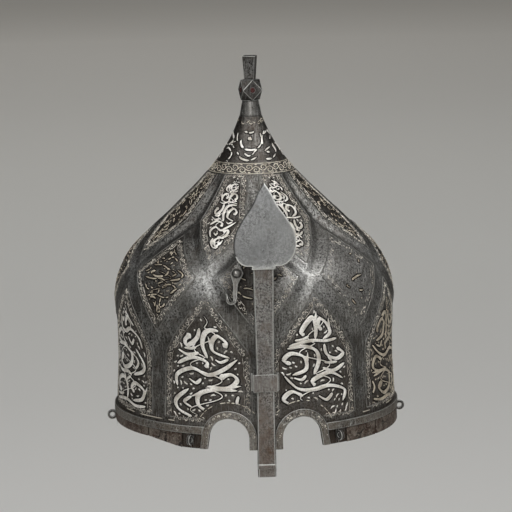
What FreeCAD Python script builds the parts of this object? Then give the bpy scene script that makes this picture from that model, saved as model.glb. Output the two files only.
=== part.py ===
# Turban helmet: a fluted steel bowl with a finial, rim fittings, a sliding nasal and a swivelling mail hook.
# Millimetres and degrees. +Z runs up the bowl's axis and the brow faces -Y.
# The origin is the middle of the rim's opening, in the plane of the bowl's lower edge.
# Angles round the bowl are counted from the brow, positive towards +X.
import FreeCAD, Part
import Sketcher
import math
import os

os.makedirs("parts", exist_ok=True)

Vector = FreeCAD.Vector
Rotation = FreeCAD.Rotation
Placement = FreeCAD.Placement
UP = Vector(0, 0, 1)
CENTRE = Vector(0, 0, 0)

SIZES = {
    # Bowl
    "bowl_height": 254.5,
    "rim_radius": 116.4,
    "bowl_wall": 1.25,
    "apex_thickness": 12.0,
    "apex_step": 0.3,
    "worn_edge_start": 66.0,
    "worn_edge_full": 90.0,
    "worn_edge_rise": 4.5,
    # Flutes and panel channels pressed into the bowl
    "lattice_count": 8,
    "lattice_turn": -1.5,
    "channel_half_width": 8.0,
    "relief_foot": 22.0,
    "relief_full": 38.0,
    "fork_height": 80.0,
    "crossing_height": 137.0,
    "merge_height": 176.0,
    "neck_height": 210.0,
    "panel_relief": 0.9,
    "crossing_relief": 1.6,
    "flute_depth": 3.2,
    # Eye cut-outs and the strips round them
    "eye_angle": 14.6,
    "eye_half_width": 16.4,
    "eye_height": 25.2,
    "eye_splay": 2.5,
    "eye_strip_width": 6.2,
    "eye_strip_thickness": 1.6,
    "eye_rivet_angle": 50.0,
    # Raised band and low covers round the rim
    "band_low": 12.0,
    "band_high": 18.0,
    "band_thickness": 2.1,
    "band_rivet_count": 8,
    "band_rivet_first_angle": 36.0,
    "cover_gap": 0.4,
    "cover_thickness": 1.1,
    "cover_front_angle": 34.5,
    "cover_side_angle": 51.5,
    "cover_rear_angle": 104.5,
    "cover_joint_angle": 0.8,
    "cover_rivet_angle": 4.0,
    "cover_rivet_height": 8.0,
    "rivet_radius": 1.1,
    "rivet_head_radius": 2.0,
    "rivet_head_thickness": 0.8,
    "rivet_clearance": 0.05,
    # Ring eyes for the mail curtain
    "vervelle_count": 6,
    "vervelle_first_angle": 30.0,
    "vervelle_height": 7.2,
    "vervelle_radius": 4.1,
    "vervelle_hole_radius": 1.9,
    "vervelle_thickness": 2.4,
    "vervelle_shank_radius": 1.2,
    "vervelle_clinch_radius": 2.3,
    # Finial
    "collar_base_radius": 9.0,
    "collar_top_radius": 6.6,
    "collar_height": 13.1,
    "collar_lip": 0.8,
    "knop_half_width": 8.15,
    "knop_height": 16.8,
    "knop_turn": 11.0,
    "stud_radius": 2.0,
    "stud_depth": 1.2,
    "stud_rise": 0.4,
    "stem_height": 19.6,
    "stem_foot_side": 8.0,
    "stem_top_side": 10.5,
    "stem_turn": -15.5,
    "tang_radius": 3.0,
    "tang_clearance": 0.1,
    "rove_radius": 7.5,
    "rove_thickness": 1.4,
    "peen_radius": 4.6,
    "peen_height": 1.6,
    # Sliding nasal
    "bar_clearance": 0.4,
    "bar_thickness": 2.8,
    "bar_half_width": 7.1,
    "bar_foot_half_width": 7.3,
    "bar_head_half_width": 8.3,
    "bar_foot_drop": 21.3,
    "bar_bevel": 0.8,
    "ridge_drop": 14.2,
    "ridge_width": 3.0,
    "ridge_rise": 1.3,
    "leaf_tip_height": 214.5,
    "leaf_length": 68.2,
    "leaf_half_width": 24.7,
    "leaf_thickness": 1.8,
    "leaf_lap": 21.0,
    "leaf_bend_height": 165.0,
    "leaf_bend_radius": 250.0,
    "leaf_rivet_radius": 1.3,
    "leaf_rivet_rise": 6.5,
    "leaf_rivet_pitch": 9.0,
    # Bracket that the bar slides in
    "bracket_low": 48.0,
    "bracket_height": 14.2,
    "bracket_wall": 1.2,
    "slide_clearance": 0.35,
    "shoulder_width": 1.4,
    "shoulder_thickness": 2.0,
    "clinch_length": 3.4,
    "clinch_thickness": 1.4,
    # Swivelling mail hook
    "hook_angle": -10.8,
    "hook_height_share": 0.5501,
    "hook_thickness": 1.5,
    "hook_bend_share": 0.1617,
    "hook_plate_half_width": 5.4,
    "hook_point_rise": 9.7,
    "hook_shoulder_drop": 9.3,
    "hook_shank_offset": 0.7,
    "hook_shank_half_width": 1.5,
    "hook_wire_width": 2.1,
    "hook_gap": 3.4,
    "hook_drop": 25.6,
    "hook_tip_drop": 12.0,
    "hook_rivet_radius": 1.6,
    "hook_rivet_clearance": 0.05,
    "hook_dome_radius": 3.1,
    "hook_dome_height": 1.7,
    "hook_play": 0.12,
    "washer_radius": 3.2,
    "washer_thickness": 0.8,
    # Shared fits
    "seat_gap": 0.1,
    "inner_head_gap": 0.3,
    "overrun": 6.0,
}

# The bowl's outer profile: heights as shares of the bowl's height, radii as shares of the rim's radius.
profile_height_shares = [0, 0.118, 0.244, 0.314, 0.362, 0.405, 0.448, 0.491, 0.538,
                         0.589, 0.648, 0.707, 0.766, 0.825, 0.884, 0.943]
profile_radius_shares = [1, 0.990, 0.9785, 0.980, 0.988, 0.993, 0.986, 0.965, 0.922,
                         0.840, 0.706, 0.567, 0.432, 0.310, 0.210, 0.133]

# The leaf's outline: drops below the tip as shares of its length, half widths as shares of its half width.
leaf_drop_shares = [0, 0.120, 0.228, 0.316, 0.375, 0.494, 0.593, 0.712, 0.809, 0.880, 0.938]
leaf_width_shares = [0, 0.215, 0.350, 0.502, 0.624, 0.826, 0.947, 1, 0.962, 0.880, 0.735]
leaf_lobe_drop_share = 0.962
leaf_lobe_width_share = 0.575
tongue_width_share = 0.375

# A channel never takes more than this share of half a lattice cell, so that the flutes narrow towards the neck.
channel_cell_share = 0.32

# Points used along the profile and in each lattice cell to lay out the bowl's surface.
SURFACE_ROWS = 64
SURFACE_COLUMNS_PER_CELL = 24
CURVE_DEGREE = 3
SEWING_TOLERANCE = 0.001

doc = FreeCAD.newDocument("turban_helmet")
sheet = doc.addObject("Spreadsheet::Sheet", "Sizes")
aliases = []


def keep(alias, value):
    """Give a size its own cell in the sheet."""
    aliases.append(alias)
    row = len(aliases)
    sheet.set("A%d" % row, alias)
    sheet.set("B%d" % row, str(value))
    sheet.setAlias("B%d" % row, alias)


for alias, value in SIZES.items():
    keep(alias, value)
doc.recompute()


def size(expression):
    """A value from the sheet: one alias, or a sum of aliases."""
    value = sheet.evalExpression(expression)
    return float(getattr(value, "Value", value))


def bind(thing, **expressions):
    """Tie properties of an object to cells of the sheet."""
    for name, expression in expressions.items():
        thing.setExpression(name, expression)
    return thing


def in_sizes(expression):
    """The same expression with each alias named as a cell of the sheet."""
    words = []
    word = ""
    for letter in expression + " ":
        if letter.isalnum() or letter == "_":
            word += letter
            continue
        words.append("Sizes." + word if word in aliases else word)
        words.append(letter)
        word = ""
    return "".join(words).strip()


def feature(label, shape):
    """A sub-part whose shape is worked out from the sheet's sizes."""
    thing = doc.addObject("Part::Feature", label)
    thing.Label = label
    thing.Shape = shape
    thing.Placement = shape.Placement
    return thing


def origin_plane(body, role):
    return [plane for plane in body.Origin.OriginFeatures if plane.Role == role][0]


def outline_sketch(body, name, role, corners):
    """A closed straight-sided sketch whose corners are tied to the sheet."""
    sketch = body.newObject("Sketcher::SketchObject", name)
    sketch.AttachmentSupport = [(origin_plane(body, role), "")]
    sketch.MapMode = "FlatFace"
    places = [(size(across), size(along)) for across, along in corners]
    for index, start in enumerate(places):
        end = places[(index + 1) % len(places)]
        sketch.addGeometry(Part.LineSegment(Vector(*start, 0), Vector(*end, 0)))
    for index in range(len(corners)):
        sketch.addConstraint(Sketcher.Constraint("Coincident", index, 2, (index + 1) % len(corners), 1))
    for index, corner in enumerate(corners):
        for kind, expression, value in zip(("DistanceX", "DistanceY"), corner, places[index]):
            number = sketch.addConstraint(Sketcher.Constraint(kind, -1, 1, index, 1, value))
            sketch.setExpression("Constraints[%d]" % number, in_sizes(expression))
    return sketch


def turned_body(label, corners):
    """A body turned about the bowl's axis from a half section given as radius and height."""
    body = doc.addObject("PartDesign::Body", label)
    body.Label = label
    sketch = outline_sketch(body, label + "_section", "XZ_Plane", corners)
    turning = body.newObject("PartDesign::Revolution", label + "_turning")
    turning.Profile = sketch
    turning.ReferenceAxis = (sketch, ["V_Axis"])
    return body


def round_bar(name, radius, height, low, angle=0):
    """A cylinder on the bowl's axis, tied to the sheet."""
    bar = doc.addObject("Part::Cylinder", name)
    bind(bar, Radius=in_sizes(radius), Height=in_sizes(height))
    bar.setExpression("Placement.Base.z", in_sizes(low))
    return bar


def around(shape, angle):
    """A copy of a shape turned round the bowl's axis from the brow to the given angle."""
    copy = shape.copy()
    copy.rotate(CENTRE, UP, angle)
    return copy


def radial_cylinder(radius, near, far, angle, height):
    """A cylinder that points outwards between two distances from the axis."""
    cylinder = Part.makeCylinder(radius, far - near, Vector(0, -near, height), Vector(0, -1, 0))
    return around(cylinder, angle)


# Bowl: profile, relief and surfaces

def bowl_profile():
    """The bowl's outer profile, a smooth curve from the rim up to the seat of the collar."""
    height = size("bowl_height")
    radius = size("rim_radius")
    points = []
    for height_share, radius_share in zip(profile_height_shares, profile_radius_shares):
        points.append(Vector(radius_share * radius, 0, height_share * height))
    points.append(Vector(size("collar_base_radius + apex_step"), 0, height))
    curve = Part.BSplineCurve()
    curve.interpolate(points)
    return curve


profile = bowl_profile()


def profile_parameter(height):
    """The profile's parameter at a height, found by halving, because the profile only rises."""
    low = profile.FirstParameter
    high = profile.LastParameter
    for step in range(60):
        middle = (low + high) / 2
        if profile.value(middle).z < height:
            low = middle
        else:
            high = middle
    return (low + high) / 2


def bowl_radius(height):
    """The outer radius of the plain bowl, before the channels are pressed in."""
    return profile.value(profile_parameter(height)).x


def relief_depth_limit(height):
    """How deep a channel is at a height: shallow between the panels, deepest in the flutes, none at the neck."""
    stations = [
        (size("relief_foot"), 0),
        (size("relief_full"), size("panel_relief")),
        (size("fork_height"), size("panel_relief")),
        (size("crossing_height"), size("crossing_relief")),
        (size("merge_height"), size("flute_depth")),
        (size("(merge_height + neck_height) / 2"), size("flute_depth")),
        (size("neck_height"), 0),
    ]
    if height <= stations[0][0] or height >= stations[-1][0]:
        return 0
    for (low, low_depth), (high, high_depth) in zip(stations, stations[1:]):
        if height <= high:
            return low_depth + (high_depth - low_depth) * (height - low) / (high - low)
    return 0


def channel_line(height):
    """The channel's middle, as a share of half a cell, and its lean as share per millimetre of height.

    A channel rises straight from the rim, forks round the lozenge, crosses its neighbour
    on the panel's middle, comes back over the lozenge and runs on as the flute.
    """
    fork = size("fork_height")
    crossing = size("crossing_height")
    merge = size("merge_height")
    if fork < height <= crossing:
        return (height - fork) / (crossing - fork), 1 / (crossing - fork)
    if crossing < height < merge:
        return (merge - height) / (merge - crossing), 1 / (merge - crossing)
    return 0, 0


def relief(turn, point, tangent):
    """How far the surface is pressed in at a place of the profile and a share of the turn of one cell."""
    across = 2 * min(turn, 1 - turn)
    middle, lean = channel_line(point.z)
    half_cell_length = math.pi / size("lattice_count") * point.x
    slant = lean * tangent.z * half_cell_length
    distance = abs(across - middle) * half_cell_length / math.sqrt(1 + slant * slant)
    reach = min(size("channel_half_width"), channel_cell_share * half_cell_length)
    closeness = max(0, 1 - distance / reach)
    return relief_depth_limit(point.z) * (1 - math.cos(math.pi * closeness)) / 2


def relief_at(angle, height):
    """How far the surface is pressed in at an angle round the bowl and a height."""
    turn = (angle - size("lattice_turn")) * size("lattice_count") / 360 % 1
    parameter = profile_parameter(height)
    return relief(turn, profile.value(parameter), profile.tangent(parameter)[0])


def relief_grid(places):
    """The relief over one lattice cell, column by column, for the points and tangents of its rows."""
    turns = [column / SURFACE_COLUMNS_PER_CELL for column in range(SURFACE_COLUMNS_PER_CELL)]
    return [[relief(turn, point, tangent) for point, tangent in places] for turn in turns]


def sharpened(grid):
    """The grid with what the surface's own smoothing takes off added back."""
    count = len(grid)
    result = []
    for column, depths in enumerate(grid):
        before = grid[column - 1]
        after = grid[(column + 1) % count]
        row = []
        for index, depth in enumerate(depths):
            lower = depths[max(index - 1, 0)]
            upper = depths[min(index + 1, len(depths) - 1)]
            row.append(depth + (4 * depth - before[index] - after[index] - lower - upper) / 6)
        result.append(row)
    return result


def profile_places(top_height):
    """Points and tangents at even steps along the profile, up to a height."""
    last = profile_parameter(top_height)
    length = profile.length(profile.FirstParameter, last)
    places = []
    for row in range(SURFACE_ROWS):
        parameter = profile.parameterAtDistance(length * row / (SURFACE_ROWS - 1), profile.FirstParameter)
        places.append((profile.value(parameter), profile.tangent(parameter)[0]))
    return places


def bowl_skin(inset, foot, top_height):
    """A solid filled out to the bowl's surface, moved inwards by a wall, from the foot up to a flat top."""
    places = profile_places(top_height)
    depths = sharpened(relief_grid(places))
    columns = int(size("lattice_count")) * SURFACE_COLUMNS_PER_CELL
    start = math.radians(size("lattice_turn"))
    poles = []
    for column in range(columns):
        angle = start + 2 * math.pi * column / columns
        pressed = depths[column % SURFACE_COLUMNS_PER_CELL]
        line = []
        for (point, tangent), depth in zip(places, pressed):
            radius = point.x - tangent.z * (inset + depth)
            line.append(Vector(radius * math.sin(angle), -radius * math.cos(angle),
                               point.z + tangent.x * (inset + depth)))
        line[0].z = foot
        line[-1].z = top_height
        poles.append(line)
    spans = SURFACE_ROWS - CURVE_DEGREE
    end = CURVE_DEGREE + 1
    surface = Part.BSplineSurface()
    surface.buildFromPolesMultsKnots(
        poles,
        [1] * (columns + 1), [end] + [1] * (spans - 1) + [end],
        [float(knot) for knot in range(columns + 1)], [float(knot) for knot in range(spans + 1)],
        True, False, CURVE_DEGREE, CURVE_DEGREE)
    skin = surface.toShape()
    rings = [edge for edge in skin.Edges if edge.isClosed()]
    shell = Part.Shell([skin] + [Part.Face(Part.Wire([ring])) for ring in rings])
    shell.sewShape()
    solid = Part.Solid(shell)
    solid.fix(SEWING_TOLERANCE, SEWING_TOLERANCE, SEWING_TOLERANCE)
    if solid.Volume < 0:
        solid.reverse()
    return solid


def eye_prism(side, margin):
    """The eye cut-out's outline, widened by a margin and carried outwards through the wall.

    side is 1 for the cut-out towards +X and -1 for the other. The outer foot splays away from the nose.
    """
    half_width = size("eye_half_width") + margin
    top = size("eye_height") + margin
    spring = top - half_width
    foot = -size("overrun")
    near = size("rim_radius") / 2
    corners = [
        Vector(-side * half_width, -near, foot),
        Vector(-side * half_width, -near, spring),
        Vector(0, -near, top),
        Vector(side * half_width, -near, spring),
        Vector(side * (half_width + size("eye_splay")), -near, foot),
    ]
    edges = [
        Part.makeLine(corners[0], corners[1]),
        Part.Arc(corners[1], corners[2], corners[3]).toShape(),
        Part.makeLine(corners[3], corners[4]),
        Part.makeLine(corners[4], corners[0]),
    ]
    prism = Part.Face(Part.Wire(edges)).extrude(Vector(0, -2 * near, 0))
    return around(prism, side * size("eye_angle"))


def rim_ring(low, high, thickness, first_angle, last_angle, steps=1):
    """A strip that lies on the bowl between two heights and two angles, a seat gap off its surface.

    Its section follows the bowl's profile in the given number of straight steps.
    """
    gap = size("seat_gap")
    heights = [low + (high - low) * step / steps for step in range(steps + 1)]
    inner = [Vector(0, -bowl_radius(height) - gap, height) for height in heights]
    outer = [point - Vector(0, thickness, 0) for point in inner]
    section = Part.Face(Part.makePolygon(inner + outer[::-1] + inner[:1]))
    return around(section.revolve(CENTRE, UP, last_angle - first_angle), first_angle)


def worn_edge():
    """The wedge of steel that has rusted away along the left of the rim."""
    start = size("worn_edge_start")
    full = size("worn_edge_full")
    rise = size("worn_edge_rise")
    reach = size("rim_radius + 2 * overrun")
    foot = -size("overrun")
    corners = [
        Vector(-start, reach, 0),
        Vector(-full, reach, rise),
        Vector(-reach, reach, rise),
        Vector(-reach, reach, foot),
        Vector(-start, reach, foot),
    ]
    return Part.Face(Part.makePolygon(corners + corners[:1])).extrude(Vector(0, -2 * reach, 0))


def strip_radius(height, thickness):
    """Outer radius of a strip of the given thickness on the bowl."""
    return bowl_radius(height) + size("seat_gap") + thickness


def inner_head_seat(angle, height):
    """Radius that the heads inside the bowl reach at a place where its wall is nearly upright."""
    return bowl_radius(height) - size("bowl_wall + inner_head_gap") - relief_at(angle, height)


# Rivets: each is given by its angle, its height and the radius its flush outer end reaches.

def band_rivet_places():
    count = int(size("band_rivet_count"))
    first = size("band_rivet_first_angle")
    height = size("(band_low + band_high) / 2")
    reach = strip_radius(height, size("band_thickness"))
    return [(first + (360 - 2 * first) * index / (count - 1), height, reach) for index in range(count)]


def eye_rivet_places(side):
    arm = size("eye_half_width + eye_strip_width / 2")
    spring = size("eye_height - eye_half_width")
    places = []
    for lean in (-1, 0, 1):
        tilt = math.radians(lean * size("eye_rivet_angle"))
        height = spring + arm * math.cos(tilt)
        across = arm * math.sin(tilt)
        angle = side * size("eye_angle") + math.degrees(math.asin(across / bowl_radius(height)))
        places.append((angle, height, strip_radius(height, size("eye_strip_thickness"))))
    return places


def cover_rivet_places(first_angle, last_angle):
    height = size("cover_rivet_height")
    inset = math.copysign(size("cover_rivet_angle"), last_angle - first_angle)
    reach = strip_radius(height, size("cover_thickness"))
    return [(first_angle + inset, height, reach), (last_angle - inset, height, reach)]


def rivet(place):
    """A rivet through the wall, flush outside, with a low head inside."""
    angle, height, reach = place
    inside = inner_head_seat(angle, height)
    head = radial_cylinder(size("rivet_head_radius"), inside - size("rivet_head_thickness"), inside,
                           angle, height)
    shank = radial_cylinder(size("rivet_radius"), inside - size("rivet_head_thickness"), reach,
                            angle, height)
    return head.fuse(shank).removeSplitter()


def rivet_hole(place):
    angle, height, reach = place
    radius = size("rivet_radius + rivet_clearance")
    return radial_cylinder(radius, inner_head_seat(angle, height) - size("overrun"),
                           reach + size("overrun"), angle, height)


COVERS = {
    "rim_cover_left_front": ("-cover_side_angle", "-cover_front_angle"),
    "rim_cover_left_side": ("-cover_rear_angle", "-cover_side_angle - cover_joint_angle"),
    "rim_cover_left_rear": ("-180 + cover_joint_angle / 2", "-cover_rear_angle - cover_joint_angle"),
    "rim_cover_right_rear": ("cover_rear_angle + cover_joint_angle", "180 - cover_joint_angle / 2"),
    "rim_cover_right_side": ("cover_side_angle + cover_joint_angle", "cover_rear_angle"),
    "rim_cover_right_front": ("cover_front_angle", "cover_side_angle"),
}


# Vervelles: ring eyes whose shanks pass through the wall

def vervelle_angles():
    count = int(size("vervelle_count"))
    return [size("vervelle_first_angle") + 360 * index / count for index in range(count)]


def vervelle_centre_radius():
    return bowl_radius(size("vervelle_height")) + size("vervelle_radius + seat_gap")


def vervelle(angle):
    """An eye with a hole along the rim, a shank through the wall and a clinched head inside."""
    height = size("vervelle_height")
    centre = vervelle_centre_radius()
    inside = inner_head_seat(angle, height)
    thickness = size("vervelle_thickness")
    side = Vector(-thickness / 2, -centre, height)
    along = Vector(1, 0, 0)
    eye = Part.makeCylinder(size("vervelle_radius"), thickness, side, along)
    hole = Part.makeCylinder(size("vervelle_hole_radius"), thickness, side, along)
    head_near = inside - size("rivet_head_thickness")
    shank = radial_cylinder(size("vervelle_shank_radius"), head_near, centre, 0, height)
    head = radial_cylinder(size("vervelle_clinch_radius"), head_near, inside, 0, height)
    return around(eye.fuse([shank, head]).cut(hole).removeSplitter(), angle)


def vervelle_hole(angle):
    height = size("vervelle_height")
    radius = size("vervelle_shank_radius + rivet_clearance")
    return radial_cylinder(radius, inner_head_seat(angle, height) - size("overrun"),
                           vervelle_centre_radius(), angle, height)


def vervelle_notch(angle):
    """Room for a ring eye in the cover it stands in."""
    thickness = size("vervelle_thickness + 2 * seat_gap")
    radius = size("vervelle_radius + seat_gap")
    start = Vector(-thickness / 2, -vervelle_centre_radius(), size("vervelle_height"))
    notch = around(Part.makeCylinder(radius, thickness, start, Vector(1, 0, 0)), angle)
    return notch.fuse(vervelle_hole(angle))


# Bracket, nasal and hook places that the bowl shares

# The bar's back slides clear of the strips round the eyes.
keep("bar_back", size("rim_radius + seat_gap + eye_strip_thickness + bar_clearance"))

# The hook hangs at a set share of the bowl's height, and its bend goes with the bulge of the bowl's side.
keep("hook_height", size("hook_height_share * bowl_height"))
keep("hook_bend_radius", size("hook_bend_share * bowl_height * bowl_height / rim_radius"))

# The bracket is wide enough for the bar's widened head, and its shoulders lie on the bowl.
keep("bracket_seat", bowl_radius(size("bracket_low")))
keep("bracket_inner", size("bar_head_half_width + slide_clearance"))
doc.recompute()

# The bracket's clinched ends lie just inside the wall where they reach furthest round.
clinch_reach = size("bracket_inner + bracket_wall + clinch_length")
clinch_radius = min(inner_head_seat(side * math.degrees(math.asin(across / size("bracket_seat"))),
                                    size("bracket_low + bracket_height"))
                    for side in (-1, 1) for across in (size("bracket_inner"), clinch_reach))
keep("clinch_front", math.sqrt(clinch_radius ** 2 - clinch_reach ** 2))
doc.recompute()


def bracket_slot(side):
    """A slot in the bowl for one leg of the bracket."""
    clearance = size("rivet_clearance")
    near = size("bracket_inner") - clearance
    wide = size("bracket_wall") + 2 * clearance
    depth = size("2 * overrun")
    box = Part.makeBox(wide, depth, size("bracket_height") + 2 * clearance,
                       Vector(near, -size("bracket_seat + overrun"), size("bracket_low") - clearance))
    if side < 0:
        box = box.mirror(CENTRE, Vector(1, 0, 0))
    return box


def hook_frame():
    """The hook's own frame at its rivet: X across, Y up the bowl, Z out of its surface."""
    parameter = profile_parameter(size("hook_height"))
    point = profile.value(parameter)
    tangent = profile.tangent(parameter)[0]
    tilt = math.degrees(math.atan2(-tangent.x, tangent.z))
    turn = Rotation(UP, size("hook_angle"))
    lean = Rotation(Vector(1, 0, 0), 90 - tilt)
    place = turn.multVec(Vector(0, -point.x, point.z))
    return Placement(place, turn.multiply(lean))


def in_hook_frame(shape):
    """A copy of a shape, carried into the hook's frame."""
    copy = shape.copy()
    copy.Placement = hook_frame().multiply(copy.Placement)
    return copy


def hook_stand():
    """Height of the hook plate's back over the bowl: the washer and its gaps."""
    return size("washer_thickness + 2 * hook_play")


# Sub-parts

def make_bowl():
    outside = bowl_skin(0, 0, size("bowl_height"))
    inside = bowl_skin(size("bowl_wall"), -size("overrun"), size("bowl_height - apex_thickness"))
    tools = [eye_prism(1, 0), eye_prism(-1, 0), worn_edge(), bracket_slot(1), bracket_slot(-1)]
    tools += [rivet_hole(place) for place in band_rivet_places()]
    tools += [rivet_hole(place) for side in (-1, 1) for place in eye_rivet_places(side)]
    for first, last in COVERS.values():
        tools += [rivet_hole(place) for place in cover_rivet_places(size(first), size(last))]
    tools += [vervelle_hole(angle) for angle in vervelle_angles()]
    bore_low = size("bowl_height - apex_thickness - overrun")
    tools.append(Part.makeCylinder(size("tang_radius + tang_clearance"),
                                   size("apex_thickness + 2 * overrun"), Vector(0, 0, bore_low)))
    hook_hole = Part.makeCylinder(size("hook_rivet_radius + rivet_clearance"), size("2 * overrun"),
                                  Vector(0, 0, -size("overrun")))
    tools.append(in_hook_frame(hook_hole))
    return feature("bowl", outside.cut([inside] + tools))


def make_eye_arch(label, side):
    high = size("eye_height + eye_strip_width + overrun")
    ring = rim_ring(0, high, size("eye_strip_thickness"), -90, 90, steps=4)
    strip = ring.common(eye_prism(side, size("eye_strip_width")))
    holes = [rivet_hole(place) for place in eye_rivet_places(side)]
    return feature(label, strip.cut([eye_prism(side, 0)] + holes))


def make_rim_band():
    low = size("band_low")
    high = size("band_high")
    ring = rim_ring(low, high, size("band_thickness"), size("eye_angle"), 360 - size("eye_angle"))
    margin = size("eye_strip_width + seat_gap")
    holes = [rivet_hole(place) for place in band_rivet_places()]
    return feature("rim_band", ring.cut([eye_prism(1, margin), eye_prism(-1, margin)] + holes))


def make_rim_cover(label, first, last):
    high = size("band_low - cover_gap")
    first_angle = size(first)
    last_angle = size(last)
    strip = rim_ring(0, high, size("cover_thickness"), first_angle, last_angle)
    tools = [rivet_hole(place) for place in cover_rivet_places(first_angle, last_angle)]
    tools += [vervelle_notch(angle) for angle in vervelle_angles()]
    return feature(label, strip.cut(tools + [worn_edge()]))


def make_collar():
    bore = "tang_radius + tang_clearance"
    return turned_body("apex_collar", [
        (bore, "bowl_height"),
        ("collar_base_radius", "bowl_height"),
        ("collar_base_radius", "bowl_height + collar_lip"),
        ("collar_top_radius", "bowl_height + collar_height"),
        (bore, "bowl_height + collar_height"),
    ])


def knop_low():
    return size("bowl_height + collar_height")


def make_knop():
    """A square bead with its corners cut back to the middles of its edges, so each side is a lozenge."""
    half_width = size("knop_half_width")
    half_height = size("knop_height / 2")
    middle = Vector(0, 0, knop_low() + half_height)

    def edge_middle(x, y, z):
        return middle + Vector(x * half_width, y * half_width, z * half_height)

    faces = []
    for sign in (-1, 1):
        squares = [
            [(sign, 1, 0), (sign, 0, 1), (sign, -1, 0), (sign, 0, -1)],
            [(1, sign, 0), (0, sign, 1), (-1, sign, 0), (0, sign, -1)],
            [(1, 0, sign), (0, 1, sign), (-1, 0, sign), (0, -1, sign)],
        ]
        corners = [
            [(x, y, 0), (x, 0, sign), (0, y, sign)] for x in (-1, 1) for y in (-1, 1)
        ]
        for flat in squares + corners:
            points = [edge_middle(*corner) for corner in flat]
            faces.append(Part.Face(Part.makePolygon(points + points[:1])))
    shell = Part.Shell(faces)
    shell.sewShape()
    bead = Part.Solid(shell)
    if bead.Volume < 0:
        bead.reverse()
    bore = Part.makeCylinder(size("tang_radius + tang_clearance"), size("knop_height + 2 * overrun"),
                             Vector(0, 0, knop_low() - size("overrun")))
    sockets = [stud_shape(angle, size("seat_gap"), size("overrun")) for angle in (0, 90, 180, 270)]
    return feature("finial_knop", around(bead.cut([bore] + sockets), size("knop_turn")))


def stud_shape(angle, extra_radius, rise):
    near = size("knop_half_width - stud_depth") - extra_radius
    far = size("knop_half_width") + rise
    return radial_cylinder(size("stud_radius") + extra_radius, near, far, angle,
                           knop_low() + size("knop_height / 2"))


def make_knop_studs():
    studs = [stud_shape(angle, 0, size("stud_rise")) for angle in (0, 90, 180, 270)]
    return feature("knop_studs", around(Part.makeCompound(studs), size("knop_turn")))


def make_stem():
    """The flared square bar with its round tang, which ends in a peened head inside the bowl."""
    low = "bowl_height + collar_height + knop_height"
    flare = doc.addObject("Part::Wedge", "stem_flare")
    for name, expression in {
        "Xmin": "-stem_foot_side / 2", "Xmax": "stem_foot_side / 2",
        "Zmin": "-stem_foot_side / 2", "Zmax": "stem_foot_side / 2",
        "X2min": "-stem_top_side / 2", "X2max": "stem_top_side / 2",
        "Z2min": "-stem_top_side / 2", "Z2max": "stem_top_side / 2",
        "Ymin": "0 * stem_height", "Ymax": "stem_height",
    }.items():
        flare.setExpression(name, in_sizes(expression))
    upright = Rotation(UP, size("stem_turn")).multiply(Rotation(Vector(1, 0, 0), 90))
    flare.Placement = Placement(Vector(0, 0, size(low)), upright)
    flare.setExpression("Placement.Base.z", in_sizes(low))
    peen_low = "bowl_height - apex_thickness - rove_thickness - peen_height"
    tang = round_bar("stem_tang", "tang_radius", low + " - (" + peen_low + ")", peen_low)
    peen = round_bar("stem_peen", "peen_radius", "peen_height", peen_low)
    stem = doc.addObject("Part::MultiFuse", "finial_stem")
    stem.Shapes = [flare, tang, peen]
    stem.Label = "finial_stem"
    return stem


def make_rove():
    top = "bowl_height - apex_thickness"
    bore = "tang_radius + tang_clearance"
    return turned_body("spindle_rove", [
        (bore, top + " - rove_thickness"),
        ("rove_radius", top + " - rove_thickness"),
        ("rove_radius", top),
        (bore, top),
    ])


def make_rivets(label, places):
    return feature(label, Part.makeCompound([rivet(place) for place in places]))


def make_vervelles():
    return feature("vervelles", Part.makeCompound([vervelle(angle) for angle in vervelle_angles()]))


def leaf_low():
    return size("leaf_tip_height - leaf_length")


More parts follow.
